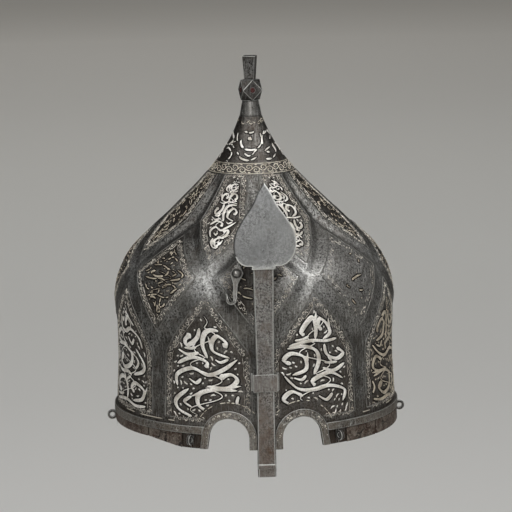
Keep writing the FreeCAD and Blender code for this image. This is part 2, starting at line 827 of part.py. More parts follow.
def make_bar():
    """The nasal bar: a flat bar with a widened head, bevelled front edges and a cross ridge near its foot."""
    body = doc.addObject("PartDesign::Body", "nasal_bar")
    body.Label = "nasal_bar"
    head = "leaf_tip_height - leaf_length + leaf_lap"
    neck = "bracket_low + bracket_height"
    outline = [
        ("-bar_foot_half_width", "-bar_foot_drop"),
        ("bar_foot_half_width", "-bar_foot_drop"),
        ("bar_half_width", "bracket_low"),
        ("bar_half_width", neck),
        ("bar_head_half_width", "leaf_tip_height - leaf_length"),
        ("bar_head_half_width", head),
        ("-bar_head_half_width", head),
        ("-bar_head_half_width", "leaf_tip_height - leaf_length"),
        ("-bar_half_width", neck),
        ("-bar_half_width", "bracket_low"),
    ]
    flat = body.newObject("PartDesign::Pad", "bar_flat")
    flat.Profile = outline_sketch(body, "bar_outline", "XZ_Plane", outline)
    flat.setExpression("Length", in_sizes("bar_thickness"))
    doc.recompute()
    front = -size("bar_thickness")
    rims = []
    for number, edge in enumerate(flat.Shape.Edges, start=1):
        box = edge.BoundBox
        if box.YMax < front / 2 and box.ZLength > box.XLength:
            rims.append("Edge%d" % number)
    bevel = body.newObject("PartDesign::Chamfer", "bar_bevels")
    bevel.Base = (flat, rims)
    bevel.setExpression("Size", in_sizes("bar_bevel"))
    ridge_outline = [
        ("-bar_half_width", "-ridge_drop"),
        ("bar_half_width", "-ridge_drop"),
        ("bar_half_width", "ridge_width - ridge_drop"),
        ("-bar_half_width", "ridge_width - ridge_drop"),
    ]
    ridge = body.newObject("PartDesign::Pad", "bar_ridge")
    ridge.Profile = outline_sketch(body, "ridge_outline", "XZ_Plane", ridge_outline)
    ridge.setExpression("Length", in_sizes("bar_thickness + ridge_rise"))
    holes = body.newObject("Sketcher::SketchObject", "bar_hole_centres")
    holes.AttachmentSupport = [(origin_plane(body, "XZ_Plane"), "")]
    holes.MapMode = "FlatFace"
    for index, height in enumerate(("leaf_rivet_rise", "leaf_rivet_rise + leaf_rivet_pitch")):
        expression = "leaf_tip_height - leaf_length + " + height
        radius = size("leaf_rivet_radius + rivet_clearance")
        holes.addGeometry(Part.Circle(Vector(0, size(expression), 0), Vector(0, 0, 1), radius))
        holes.addConstraint(Sketcher.Constraint("PointOnObject", index, 3, -2))
        for kind, points, formula in (
                ("DistanceY", (-1, 1, index, 3, size(expression)), expression),
                ("Radius", (index, radius), "leaf_rivet_radius + rivet_clearance")):
            number = holes.addConstraint(Sketcher.Constraint(kind, *points))
            holes.setExpression("Constraints[%d]" % number, in_sizes(formula))
    drill = body.newObject("PartDesign::Pocket", "bar_holes")
    drill.Profile = holes
    drill.Type = "ThroughAll"
    drill.Midplane = True
    body.setExpression("Placement.Base.y", in_sizes("-bar_back"))
    return body


def leaf_back():
    """Inner radius of the leaf's plate, whose hollow clears the bar's front edges by a seat gap."""
    return math.hypot(size("bar_back + bar_thickness + seat_gap"), size("bar_head_half_width"))


def leaf_plate():
    """A ring the leaf is cut from: upright below the bend, then curving in over the brow."""
    inner = leaf_back()
    thickness = size("leaf_thickness")
    low = leaf_low() - size("overrun")
    bend = size("leaf_bend_height")
    radius = size("leaf_bend_radius")
    rise = size("leaf_tip_height") + size("overrun") - bend
    sag = radius - math.sqrt(radius * radius - rise * rise)
    half_rise = rise / 2
    half_sag = radius - math.sqrt(radius * radius - half_rise * half_rise)

    def side(offset):
        foot = Vector(0, -inner - offset, low)
        knee = Vector(0, -inner - offset, bend)
        middle = Vector(0, -inner - offset + half_sag, bend + half_rise)
        top = Vector(0, -inner - offset + sag, bend + rise)
        return foot, knee, middle, top

    back = side(0)
    front = side(thickness)
    edges = [
        Part.makeLine(back[0], back[1]), Part.Arc(back[1], back[2], back[3]).toShape(),
        Part.makeLine(back[3], front[3]),
        Part.Arc(front[3], front[2], front[1]).toShape(), Part.makeLine(front[1], front[0]),
        Part.makeLine(front[0], back[0]),
    ]
    section = Part.Face(Part.Wire(edges))
    return around(section.revolve(CENTRE, UP, 90), -45)


def leaf_rivet_heights():
    first = leaf_low() + size("leaf_rivet_rise")
    return [first, first + size("leaf_rivet_pitch")]


def make_leaf():
    """The leaf-shaped plate on top of the bar, with rounded lobes and a square tongue lapped over the bar."""
    tip = size("leaf_tip_height")
    length = size("leaf_length")
    half_width = size("leaf_half_width")

    def point(side, width_share, drop_share):
        return Vector(side * width_share * half_width, 0, tip - drop_share * length)

    def flank(side):
        curve = Part.BSplineCurve()
        curve.interpolate([point(side, *shares) for shares in zip(leaf_width_shares, leaf_drop_shares)])
        return curve.toShape()

    edges = [flank(1), flank(-1)]
    for side in (1, -1):
        corners = [
            point(side, leaf_width_shares[-1], leaf_drop_shares[-1]),
            point(side, leaf_lobe_width_share, leaf_lobe_drop_share),
            point(side, tongue_width_share, leaf_lobe_drop_share),
            point(side, tongue_width_share, 1),
        ]
        for start, end in zip(corners, corners[1:]):
            edges.append(Part.makeLine(start, end))
    edges.append(Part.makeLine(point(1, tongue_width_share, 1), point(-1, tongue_width_share, 1)))
    outline = Part.Face(Part.Wire(Part.sortEdges(edges)[0]))
    prism = outline.extrude(Vector(0, -2 * leaf_back(), 0))
    reach = leaf_back() + size("overrun")
    holes = [radial_cylinder(size("leaf_rivet_radius + rivet_clearance"), size("bar_back"), reach, 0, height)
             for height in leaf_rivet_heights()]
    return feature("nasal_leaf", leaf_plate().common(prism).cut(holes))


def make_leaf_rivets():
    """Two rivets, flush with the leaf in front and headed behind the bar."""
    back = size("bar_back") - size("seat_gap")
    thickness = size("rivet_head_thickness")
    front = leaf_back() + size("leaf_thickness")
    rivets = []
    for height in leaf_rivet_heights():
        head = radial_cylinder(size("rivet_head_radius"), back - thickness, back, 0, height)
        shank = radial_cylinder(size("leaf_rivet_radius"), back - thickness, front, 0, height)
        rivets.append(head.fuse(shank).removeSplitter())
    return feature("nasal_leaf_rivets", Part.makeCompound(rivets))


def make_bracket():
    """A strap over the bar: its shoulders rest on the bowl, its legs go through and are clinched inside."""
    body = doc.addObject("PartDesign::Body", "nasal_bracket")
    body.Label = "nasal_bracket"
    outer = "bracket_inner + bracket_wall"
    shoulder = outer + " + shoulder_width"
    clinch = outer + " + clinch_length"
    strap_back = "-(bar_back + bar_thickness + slide_clearance)"
    strap_front = "-(bar_back + bar_thickness + slide_clearance + bracket_wall)"
    shoulder_back = "-bracket_seat"
    shoulder_front = "-(bracket_seat + shoulder_thickness)"
    clinch_front = "-clinch_front"
    clinch_back = "clinch_thickness - clinch_front"
    half = [
        ("bracket_inner", strap_back), ("bracket_inner", clinch_back), (clinch, clinch_back),
        (clinch, clinch_front), (outer, clinch_front), (outer, shoulder_back),
        (shoulder, shoulder_back), (shoulder, shoulder_front),
        (outer, shoulder_front), (outer, strap_front),
    ]
    mirrored = [("-(" + across + ")", along) for across, along in reversed(half)]
    strap = body.newObject("PartDesign::Pad", "bracket_strap")
    strap.Profile = outline_sketch(body, "bracket_section", "XY_Plane", half + mirrored)
    strap.setExpression("Length", in_sizes("bracket_height"))
    body.setExpression("Placement.Base.z", in_sizes("bracket_low"))
    return body


def hook_outline():
    """The hook's flat outline about its rivet: a pointed plate, a tapering shank and an upturned end."""
    plate = size("hook_plate_half_width")
    offset = size("hook_shank_offset")
    shank = size("hook_shank_half_width")
    wire = size("hook_wire_width")
    gap = size("hook_gap")
    drop = size("hook_drop")
    shoulder = size("hook_shoulder_drop")
    right = shank - offset
    left = -shank - offset
    bend = left - gap / 2
    bend_height = -drop + wire + gap / 2
    arm_right = left - gap
    arm_left = arm_right - wire
    point = Vector((right + offset) / 2, size("hook_point_rise"), 0)
    tip = Vector(arm_left - wire / 2, -size("hook_tip_drop"), 0)
    corners = [
        tip, Vector(arm_right, bend_height, 0), Vector(bend, -drop + wire, 0), Vector(left, bend_height, 0),
        Vector(left - offset / 2, -shoulder, 0), Vector(-plate, 0, 0), point, Vector(plate, 0, 0),
        Vector(right + offset, -shoulder, 0), Vector(right, bend_height, 0), Vector(bend, -drop, 0),
        Vector(arm_left, bend_height, 0),
    ]
    edges = [
        Part.makeLine(corners[0], corners[1]),
        Part.Arc(corners[1], corners[2], corners[3]).toShape(),
        Part.makeLine(corners[3], corners[4]),
        Part.makeLine(corners[4], corners[5]),
        Part.makeLine(corners[5], corners[6]),
        Part.makeLine(corners[6], corners[7]),
        Part.makeLine(corners[7], corners[8]),
        Part.makeLine(corners[8], corners[9]),
        Part.Arc(corners[9], corners[10], corners[11]).toShape(),
        Part.makeLine(corners[11], corners[0]),
    ]
    return Part.Face(Part.Wire(edges))


def make_hook():
    """The hook is bent a little, so that it follows the bowl's bulge and still turns clear of it."""
    radius = size("hook_bend_radius")
    stand = hook_stand()
    thickness = size("hook_thickness")
    reach = size("2 * hook_drop")
    axis_start = Vector(-reach, 0, stand - radius)
    outer = Part.makeCylinder(radius + thickness, 2 * reach, axis_start, Vector(1, 0, 0))
    inner = Part.makeCylinder(radius, 2 * reach, axis_start, Vector(1, 0, 0))
    flat = hook_outline()
    flat.translate(Vector(0, 0, -size("overrun")))
    prism = flat.extrude(Vector(0, 0, size("2 * overrun")))
    eye = Part.makeCylinder(size("hook_rivet_radius + hook_rivet_clearance"), size("2 * overrun"),
                            Vector(0, 0, -size("overrun")))
    bent = prism.common(outer).cut([inner, eye])
    return feature("mail_hook", in_hook_frame(bent))


def make_hook_rivet():
    """A domed rivet: the hook turns on its shank, which is headed inside the bowl."""
    shank_radius = size("hook_rivet_radius")
    wall = size("bowl_wall")
    seat = hook_stand() + size("hook_thickness + hook_play")
    head_top = -wall - size("2 * hook_play")
    head_low = head_top - size("rivet_head_thickness")
    shank = Part.makeCylinder(shank_radius, seat - head_low, Vector(0, 0, head_low))
    head = Part.makeCylinder(size("washer_radius"), size("rivet_head_thickness"), Vector(0, 0, head_low))
    dome_radius = size("hook_dome_radius")
    dome_height = size("hook_dome_height")
    ball_radius = (dome_radius ** 2 + dome_height ** 2) / (2 * dome_height)
    ball = Part.makeSphere(ball_radius, Vector(0, 0, seat + dome_height - ball_radius))
    cap = ball.common(Part.makeCylinder(dome_radius, dome_height, Vector(0, 0, seat)))
    return feature("hook_rivet", in_hook_frame(shank.fuse([head, cap]).removeSplitter()))


def make_hook_washer():
    low = Vector(0, 0, size("hook_play"))
    disc = Part.makeCylinder(size("washer_radius"), size("washer_thickness"), low)
    hole = Part.makeCylinder(size("hook_rivet_radius + rivet_clearance"), size("washer_thickness"), low)
    return feature("hook_washer", in_hook_frame(disc.cut(hole)))


def make_all():
    pieces = [
        make_bowl(),
        make_collar(),
        make_knop(),
        make_knop_studs(),
        make_stem(),
        make_rove(),
        make_eye_arch("left_eye_arch", -1),
        make_eye_arch("right_eye_arch", 1),
        make_rivets("eye_arch_rivets", eye_rivet_places(-1) + eye_rivet_places(1)),
        make_rim_band(),
        make_rivets("rim_band_rivets", band_rivet_places()),
    ]
    cover_places = []
    for label, (first, last) in COVERS.items():
        pieces.append(make_rim_cover(label, first, last))
        cover_places += cover_rivet_places(size(first), size(last))
    pieces.append(make_rivets("rim_cover_rivets", cover_places))
    pieces += [
        make_vervelles(),
        make_bar(),
        make_leaf(),
        make_leaf_rivets(),
        make_bracket(),
        make_hook(),
        make_hook_rivet(),
        make_hook_washer(),
    ]
    return pieces


pieces = make_all()
doc.recompute()

for thing in doc.Objects:
    states = [state for state in thing.State if state in ("Invalid", "Error")]
    if states:
        raise RuntimeError("%s is %s" % (thing.Name, ", ".join(states)))
for piece in pieces:
    if piece.Shape.isNull() or not piece.Shape.isValid() or not piece.Shape.Solids:
        raise RuntimeError("%s has no valid solid" % piece.Label)

for piece in pieces:
    piece.Shape.exportStep("parts/" + piece.Label + ".step")
    print("%-24s solids %2d volume %10.1f" % (piece.Label, len(piece.Shape.Solids), piece.Shape.Volume))
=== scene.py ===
import math
from functools import partial
import bpy
import numpy as np
from mathutils import Matrix, Vector


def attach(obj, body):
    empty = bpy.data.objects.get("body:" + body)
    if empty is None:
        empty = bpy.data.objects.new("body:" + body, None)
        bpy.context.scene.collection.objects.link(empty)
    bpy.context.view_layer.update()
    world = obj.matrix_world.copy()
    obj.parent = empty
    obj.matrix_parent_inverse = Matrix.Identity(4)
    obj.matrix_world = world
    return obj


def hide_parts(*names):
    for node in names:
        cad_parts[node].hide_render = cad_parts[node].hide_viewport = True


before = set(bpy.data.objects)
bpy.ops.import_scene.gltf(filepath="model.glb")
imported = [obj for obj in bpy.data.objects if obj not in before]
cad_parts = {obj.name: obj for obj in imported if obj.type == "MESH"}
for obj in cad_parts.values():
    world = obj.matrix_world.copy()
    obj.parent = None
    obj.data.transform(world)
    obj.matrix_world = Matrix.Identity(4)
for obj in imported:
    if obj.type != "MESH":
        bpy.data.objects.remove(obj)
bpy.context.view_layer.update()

MM = 0.001

# Bowl, in millimetres and degrees, as the frame's solid has it.
# Angles run from the brow (-Y) towards +X.
BOWL_HEIGHT = 254.5
RIM_RADIUS = 116.4
BOWL_WALL = 1.25
APEX_THICKNESS = 12.0
APEX_RADIUS = 9.3
TANG_BORE = 3.1
HEIGHT_SHARES = [0, 0.118, 0.244, 0.314, 0.362, 0.405, 0.448, 0.491, 0.538,
                 0.589, 0.648, 0.707, 0.766, 0.825, 0.884, 0.943]
RADIUS_SHARES = [1, 0.990, 0.9785, 0.980, 0.988, 0.993, 0.986, 0.965, 0.922,
                 0.840, 0.706, 0.567, 0.432, 0.310, 0.210, 0.133]
PROFILE_SAMPLES = 4000
# Worn stretch of the rim: where it starts and is full, to the left of the middle, how far it cuts
# up, and the height at which the bowl's rows are even again
WORN_START, WORN_FULL, WORN_RISE = 66.0, 90.0, 4.5
WORN_BLEND = 12.0

# Flutes and channels
CELLS = 8
LATTICE_TURN = -1.5
CHANNEL_HALF = 8.0
CHANNEL_CELL_SHARE = 0.32
RELIEF_FOOT, RELIEF_FULL = 22.0, 38.0
FORK, CROSSING, MERGE, NECK = 80.0, 137.0, 176.0, 210.0
PANEL_RELIEF, CROSSING_RELIEF, FLUTE_DEPTH = 0.9, 1.6, 3.2
HALF_CELL = 180 / CELLS
FORK_SOFT, SLANT_SOFT = 13.0, 4.0

# Hammer dents: their usual depth, the heights between which they fade in and out, and the angle
# behind the hook, and its spread, where there are none
DENT_DEPTH = 0.28
DENT_FADE = [40, 60, 180, 205]
NO_DENTS_AT, NO_DENTS_SPREAD = -8, 12

# Eye cut-outs
EYE_ANGLE = 14.6
EYE_HALF = 16.4
EYE_TOP = 25.2
EYE_SPRING = EYE_TOP - EYE_HALF
EYE_SPLAY, SPLAY_RUN = 2.5, 6
EYE_STRIP = 6.2
STRIP_RADIUS = 118.12
STRIP_LEAN = 0.034

# Heights of the seams above the collar and above the knop, and the hook rivet's place and radius
COLLAR_TOP, KNOP_TOP = 267.6, 284.4
HOOK_RIVET, HOOK_RIVET_RADIUS = (-20.1, -105.2, 140.6), 3.1

# Middle of the painted highlight on the bowl's right front, in metres, and how far the wear
# at each crossing of the channels spreads
PAINTED_HIGHLIGHT_AT = (0.078, -0.078, 0.142)
WEAR_ACROSS, WEAR_UP = 19, 22

# Grid of the bowl: even steps up the profile, and columns round it that halve above the shoulder.
# Points within a share of a step of an eye cut-out's edge move onto it.
GRID_STEP = 2.1
SNAP_SHARE = 0.56
COLUMNS = 46 * CELLS
HALVING_HEIGHT = 186.0
# Above this height the inside's rows draw together, to end under the thick apex.
SQUEEZE_FROM = 200.0

# Photograph's camera: distance, target and angles fitted to the rim, the neck and the silhouette.
CAMERA_DISTANCE = 2200.0
CAMERA_TARGET = (2.2, 0.0, 137.3)
CAMERA_AZIMUTH = -3.7
CAMERA_ELEVATION = 9.26
CAMERA_ROLL = 1.1
CAMERA_SCALE = 0.83
CAMERA_FARTHEST = 100
IMAGE_SIZE = 512
SENSOR = 36.0


# Shape of the bowl

def smooth_profile():
    """Heights, radii and lengths of the outer profile, sampled finely.

    A natural cubic spline runs through the stations, with the distance between stations as its
    parameter. Its second derivatives solve the usual three-term equations.
    """
    stations = np.column_stack([
        np.append(np.array(RADIUS_SHARES) * RIM_RADIUS, APEX_RADIUS),
        np.append(np.array(HEIGHT_SHARES) * BOWL_HEIGHT, BOWL_HEIGHT)])
    gaps = np.hypot(*np.diff(stations, axis=0).T)
    knots = np.append(0, np.cumsum(gaps))
    count = len(stations)
    matrix = np.eye(count)
    right = np.zeros((count, 2))
    inner = np.arange(1, count - 1)
    matrix[inner, inner - 1] = gaps[:-1]
    matrix[inner, inner] = 2 * (gaps[:-1] + gaps[1:])
    matrix[inner, inner + 1] = gaps[1:]
    slopes = np.diff(stations, axis=0) / gaps[:, None]
    right[inner] = 6 * (slopes[1:] - slopes[:-1])
    bends = np.linalg.solve(matrix, right)
    places = np.linspace(0, knots[-1], PROFILE_SAMPLES)
    span = np.clip(np.searchsorted(knots, places, side="right") - 1, 0, count - 2)
    gap = gaps[span][:, None]
    left = (knots[span + 1] - places)[:, None]
    past = (places - knots[span])[:, None]
    points = (bends[span] * left ** 3 + bends[span + 1] * past ** 3) / (6 * gap)
    points += (stations[span] / gap - bends[span] * gap / 6) * left
    points += (stations[span + 1] / gap - bends[span + 1] * gap / 6) * past
    radii, heights = points.T
    lengths = np.append(0, np.cumsum(np.hypot(np.diff(radii), np.diff(heights))))
    return heights, radii, lengths


PROFILE_Z, PROFILE_R, PROFILE_S = smooth_profile()
PROFILE_TILT = np.arctan2(-np.gradient(PROFILE_R), np.gradient(PROFILE_Z))


def radius_at(z):
    """Radius of the outer profile at a height."""
    return np.interp(z, PROFILE_Z, PROFILE_R)


def tilt_at(z):
    """How far the surface leans back from upright, in radians."""
    return np.interp(z, PROFILE_Z, PROFILE_TILT)


def length_at(z):
    """Length along the profile from the rim up to a height."""
    return np.interp(z, PROFILE_Z, PROFILE_S)


def height_at(length):
    """Height at a length along the profile."""
    return np.interp(length, PROFILE_S, PROFILE_Z)


def half_cell(z):
    """Half a lattice cell, measured round the bowl at a height."""
    return math.radians(HALF_CELL) * radius_at(z)


def channel_share(z):
    """Where the channel's middle runs, as a share of half a cell.

    It goes out to the crossing and back to the flute. The fork's corner is rounded: a parabola, in
    straight steps, over FORK_SOFT each side.
    """
    bend = FORK_SOFT / (CROSSING - FORK)
    heights = [FORK - FORK_SOFT, FORK - FORK_SOFT / 3, FORK + FORK_SOFT / 3, FORK + FORK_SOFT,
               CROSSING, MERGE]
    return np.interp(z, heights, [0, bend / 9, 4 * bend / 9, bend, 1, 0])


def channel_slant(z):
    """How much wider a channel is when measured level: its sloping line's length over its rise."""
    below, above = 1 / (CROSSING - FORK), 1 / (MERGE - CROSSING)
    heights = [FORK - SLANT_SOFT, FORK + SLANT_SOFT, CROSSING - SLANT_SOFT, CROSSING + SLANT_SOFT,
               MERGE - SLANT_SOFT, MERGE + SLANT_SOFT]
    lean = np.interp(z, heights, [0, below, below, above, above, 0])
    return np.sqrt(1 + (lean * np.cos(tilt_at(z)) * half_cell(z)) ** 2)


def channel_reach(z):
    """Half a channel's width, which is a share of half a cell where the bowl is narrow."""
    return np.minimum(CHANNEL_HALF, CHANNEL_CELL_SHARE * half_cell(z))


def cell_turn(psi):
    """How far round its lattice cell a place is, from 0 to 1."""
    return ((np.degrees(psi) - LATTICE_TURN) * CELLS / 360) % 1


def cell_share(psi):
    """Distance from the cell's edge as a share of half a cell."""
    turn = cell_turn(psi)
    return 2 * np.minimum(turn, 1 - turn)


def channel_distance(psi, z):
    """Distance from the middle of the nearest channel, in millimetres."""
    return np.abs(cell_share(psi) - channel_share(z)) * half_cell(z) / channel_slant(z)


def channel_depth(z):
    """Depth of the channels by height, in straight steps: most in the flutes, none at the rim."""
    heights = [RELIEF_FOOT, RELIEF_FULL, FORK, CROSSING, MERGE, (MERGE + NECK) / 2, NECK]
    return np.interp(z, heights, [0, PANEL_RELIEF, PANEL_RELIEF, CROSSING_RELIEF, FLUTE_DEPTH,
                                  FLUTE_DEPTH, 0])


def relief(psi, z):
    """Depth of the channels: a raised-cosine trough across each channel's line."""
    closeness = np.clip(1 - channel_distance(psi, z) / channel_reach(z), 0, 1)
    return channel_depth(z) * (1 - np.cos(np.pi * closeness)) / 2


def dents(psi, z):
    """Hammer dents a few tenths of a millimetre deep: two products of slow slanting waves, added.

    They fade out near the rim and the neck, and behind the hook, which has to clear the bowl.
    """
    waves = (np.sin(5 * psi + 0.061 * z) * np.sin(0.093 * z - 7 * psi + 1.3)
             + 0.6 * np.sin(13 * psi - 0.17 * z + 0.5) * np.sin(9 * psi + 0.13 * z))
    fade = np.interp(z, DENT_FADE, [0, 1, 1, 0])
    from_hook = np.degrees((psi + np.pi) % (2 * np.pi) - np.pi) - NO_DENTS_AT
    return DENT_DEPTH * waves * fade * (1 - np.exp(-(from_hook / NO_DENTS_SPREAD) ** 2))


def skull_points(psi, z, lift=0.0):
    """Places on the bowl's outer face, in metres.

    Each is its place on the turned profile, moved along the profile's normal by lift, less the
    depth of the channels and with the dents, and turned round the axis by psi.
    """
    off = lift - relief(psi, z) + dents(psi, z)
    tilt = tilt_at(z)
    radius = radius_at(z) + np.cos(tilt) * off
    rise = np.sin(tilt) * off
    return np.stack([radius * np.sin(psi), -radius * np.cos(psi), z + rise], axis=-1) * MM


def eye_distance(psi, z):
    """Signed distance to the nearer eye cut-out's edge, negative inside, and the way outwards.

    Above the spring line the edge is a half circle; below it the sides run down, and the outer
    one splays away from the nose.
    """
    side = np.where(np.sin(psi) >= 0, 1.0, -1.0)
    across = radius_at(z) * np.sin(psi - side * math.radians(EYE_ANGLE)) * side
    in_front = np.cos(psi) > 0
    low = np.clip((EYE_SPRING - z) / EYE_SPRING, 0, 1)
    splay = EYE_SPLAY * low * EYE_SPRING / (EYE_SPRING + SPLAY_RUN)
    half = EYE_HALF + np.where(across > 0, splay, 0)
    above = np.maximum(z - EYE_SPRING, 0)
    away = np.hypot(across, above)
    distance = away - half
    ways = np.stack([across * side, above], axis=-1) / np.maximum(away, 1e-6)[..., None]
    return np.where(in_front, distance, 1e3), ways


# Meshes

def new_piece(name, points, faces, material, smooth=True):
    """A mesh piece from points and a list of face arrays, each with its own corner count."""
    mesh = bpy.data.meshes.new(name)
    corners = np.concatenate([np.ravel(group) for group in faces]).astype(np.int32)
    totals = np.concatenate([np.full(len(group), group.shape[1]) for group in faces])
    starts = np.append(0, np.cumsum(totals)[:-1]).astype(np.int32)
    mesh.vertices.add(len(points))
    mesh.vertices.foreach_set("co", np.ravel(points).astype(np.float32))
    mesh.loops.add(len(corners))
    mesh.loops.foreach_set("vertex_index", corners)
    mesh.polygons.add(len(totals))
    mesh.polygons.foreach_set("loop_start", starts)
    mesh.polygons.foreach_set("use_smooth", np.full(len(totals), smooth))
    mesh.update(calc_edges=True)
    mesh.validate()
    mesh.materials.append(material)
    piece = bpy.data.objects.new(name, mesh)
    bpy.context.scene.collection.objects.link(piece)
    return piece


def helmet_piece(name, points, faces, material, slot="skull_steel"):
    """A new piece that moves with the helmet, with the material given. Its slot is not used."""
    piece = new_piece(name, points, faces, material)
    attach(piece, "helmet")
    return piece


def ring_faces(starts, counts):
    """Quads between rings with as many points, and three triangles a pair where one has half."""
    quads = []
    triangles = []
    for low, high, count, above in zip(starts[:-1], starts[1:], counts[:-1], counts[1:]):
        here = np.arange(above)
        following = (here + 1) % above
        if count == above:
            quads.append(np.column_stack([low + here, low + following, high + following,
                                          high + here]))
            continue
        first, middle, last = low + 2 * here, low + 2 * here + 1, low + (2 * here + 2) % count
        triangles.append(np.column_stack([first, middle, high + here]))
        triangles.append(np.column_stack([middle, high + following, high + here]))
        triangles.append(np.column_stack([middle, last, high + following]))
    return np.concatenate(quads), np.concatenate(triangles)


def cut_eyes(psi, z, quads):
    """Opens the eye cut-outs in the grid: points near the edge move onto it, and faces inside go.

    A quad with one corner inside, between two on the edge, keeps its other three corners.
    """
    distance, ways = eye_distance(psi, z)
    near = np.abs(distance) < SNAP_SHARE * GRID_STEP
    step = np.where(near, distance, 0)
    psi = psi - step * ways[:, 0] / radius_at(z)
    z = z - step * ways[:, 1] * (z > 0.01)
    inside = (distance < 0) & ~near
    kept = distance > 0
    in_corner = inside[quads]
    edge_corner = near[quads]
    none_inside = ~in_corner.any(axis=1)
    all_edge = edge_corner.all(axis=1)
    middle_out = distance[quads].mean(axis=1) > 0
    whole = quads[none_inside & (~all_edge | middle_out)
                  & (kept[quads] | edge_corner).all(axis=1)]
    one_inside = in_corner.sum(axis=1) == 1
    at = in_corner.argmax(axis=1)
    rows = np.arange(len(quads))
    beside = edge_corner[rows, (at + 1) % 4] & edge_corner[rows, (at + 3) % 4]
    opposite_out = kept[quads[rows, (at + 2) % 4]]
    part = one_inside & beside & opposite_out
    rest = np.stack([quads[rows, (at + turn) % 4] for turn in (1, 2, 3)], axis=1)[part]
    return psi, z, whole, rest


def open_edges(faces):
    """Directed edges that only one face uses."""
    pairs = np.concatenate([
        np.stack([group, np.roll(group, -1, axis=1)], axis=-1).reshape(-1, 2) for group in faces])
    count = pairs.max() + 1
    codes = pairs[:, 0].astype(np.int64) * count + pairs[:, 1]
    back = pairs[:, 1].astype(np.int64) * count + pairs[:, 0]
    return pairs[~np.isin(codes, back)]


def worn_rim(psi, z):
    """Heights with the rim's worn stretch: on the left the lowest rows rise, with a ragged edge."""
    worn = np.interp(-RIM_RADIUS * np.sin(psi), [WORN_START, WORN_FULL], [0, WORN_RISE])
    ragged = 0.5 * np.sin(31 * psi) * np.sin(47 * psi + 1) * np.minimum(worn, 1)
    worn = np.where(worn > 0, worn + ragged, 0)
    return np.where(z < WORN_BLEND, worn + z * (WORN_BLEND - worn) / WORN_BLEND, z)


def make_skull(material):
    """The bowl as one closed shell: rings up the outside, down the tang's bore and down the inside.

    The outside and the inside use the same grid of angles and heights, so the rim and the eye
    cut-outs are closed by joining each open edge outside to its partner inside.
    """
    rows = np.linspace(0, PROFILE_S[-1], int(round(PROFILE_S[-1] / GRID_STEP)) + 1)
    heights = height_at(rows)
    counts = np.where(heights < HALVING_HEIGHT, COLUMNS, COLUMNS // 2)
    starts = np.append(0, np.cumsum(counts)[:-1])
    turn = math.radians(LATTICE_TURN)
    psi = np.concatenate([turn + 2 * np.pi * np.arange(count) / count for count in counts])
    z = worn_rim(psi, np.repeat(heights, counts))
    quads, triangles = ring_faces(starts, counts)
    psi, z, quads, eye_triangles = cut_eyes(psi, z, quads)
    triangles = np.concatenate([triangles, eye_triangles])
    cavity_top = BOWL_HEIGHT - APEX_THICKNESS
    squeeze = (cavity_top - SQUEEZE_FROM) / (BOWL_HEIGHT - SQUEEZE_FROM)
    inner_z = np.where(z > SQUEEZE_FROM, SQUEEZE_FROM + (z - SQUEEZE_FROM) * squeeze, z)
    outside = skull_points(psi, z)
    inside = skull_points(psi, inner_z, -BOWL_WALL)
    last = starts[-1]
    inside[last:, 2] = cavity_top * MM
    size = len(outside)
    count = counts[-1]
    ring = turn + 2 * np.pi * np.arange(count) / count
    bore = np.column_stack([np.sin(ring), -np.cos(ring)]) * TANG_BORE * MM
    bore_top = np.column_stack([bore, np.full(count, BOWL_HEIGHT * MM)])
    bore_foot = np.column_stack([bore, np.full(count, cavity_top * MM)])
    here = np.arange(count)
    after = (here + 1) % count
    levels = [last + here, 2 * size + here, 2 * size + count + here, size + last + here]
    caps = [np.column_stack([low[here], low[after], high[after], high[here]])
            for low, high in zip(levels[:-1], levels[1:])]
    edges = open_edges([quads, triangles])
    edges = edges[(edges < last).all(axis=1)]
    walls = np.column_stack([edges[:, 1], edges[:, 0], edges[:, 0] + size, edges[:, 1] + size])
    all_quads = np.concatenate([quads, quads[:, ::-1] + size, walls] + caps)
    all_triangles = np.concatenate([triangles, triangles[:, ::-1] + size])
    points = np.concatenate([outside, inside, bore_top, bore_foot])
    used = np.zeros(len(points), bool)
    used[all_quads.ravel()] = True
    used[all_triangles.ravel()] = True
    index = np.cumsum(used) - 1
    skull = helmet_piece("skull", points[used], [index[all_quads], index[all_triangles]], material)
    skull.data.set_sharp_from_angle(angle=math.radians(50))
    sheet_psi = np.concatenate([psi, psi, ring, ring])[used]
    sheet_z = np.concatenate([z, inner_z, np.full(2 * count, BOWL_HEIGHT)])[used]
    on_face = np.concatenate([np.ones(size), np.zeros(size + 2 * count)])[used]
    paint(skull, "ground", on_face * panel_ground(sheet_psi, sheet_z))
    paint(skull, "inside", 1 - on_face)
    paint(skull, "rubbed", on_face * crossing_wear(sheet_psi, sheet_z))
    # Painted shadow round the hook and below the leaf, with painted shade on the sides
    shade_share = np.maximum(painted_hook_shadow(sheet_psi, sheet_z), painted_side_shade(sheet_psi, sheet_z))
    paint(skull, "painted_shade", on_face * shade_share)
    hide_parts("bowl")


def paint(piece, name, values):
    """Keeps one number for each point of a piece, which its material reads by name."""
    layer = piece.data.attributes.new(name, "FLOAT", "POINT")
    layer.data.foreach_set("value", values.astype(np.float32))


# How much of the ground shows under the neck's ornament and in the lozenges
NECK_GROUND, LOZENGE_GROUND = 0.7, 0.5


def panel_ground(psi, z):
    """1 where the bowl is cut back for bold ornament, less elsewhere and 0 on the plain bands."""
    depth = channel_distance(psi, z) - PLAIN_HALF * channel_reach(z) / CHANNEL_HALF
    inside = np.interp(depth, [0, 1.5, 5.5, 7], [0, 0.4, 0.4, 1])
    in_lozenge = (cell_share(psi) < channel_share(z)) & (z > FORK) & (z < MERGE)
    inside = np.where(in_lozenge, LOZENGE_GROUND * inside, inside)
    above_rim = np.clip((z - PANEL_FOOT) / 2, 0, 1)
    return np.where(z > NECK, NECK_GROUND, inside) * above_rim
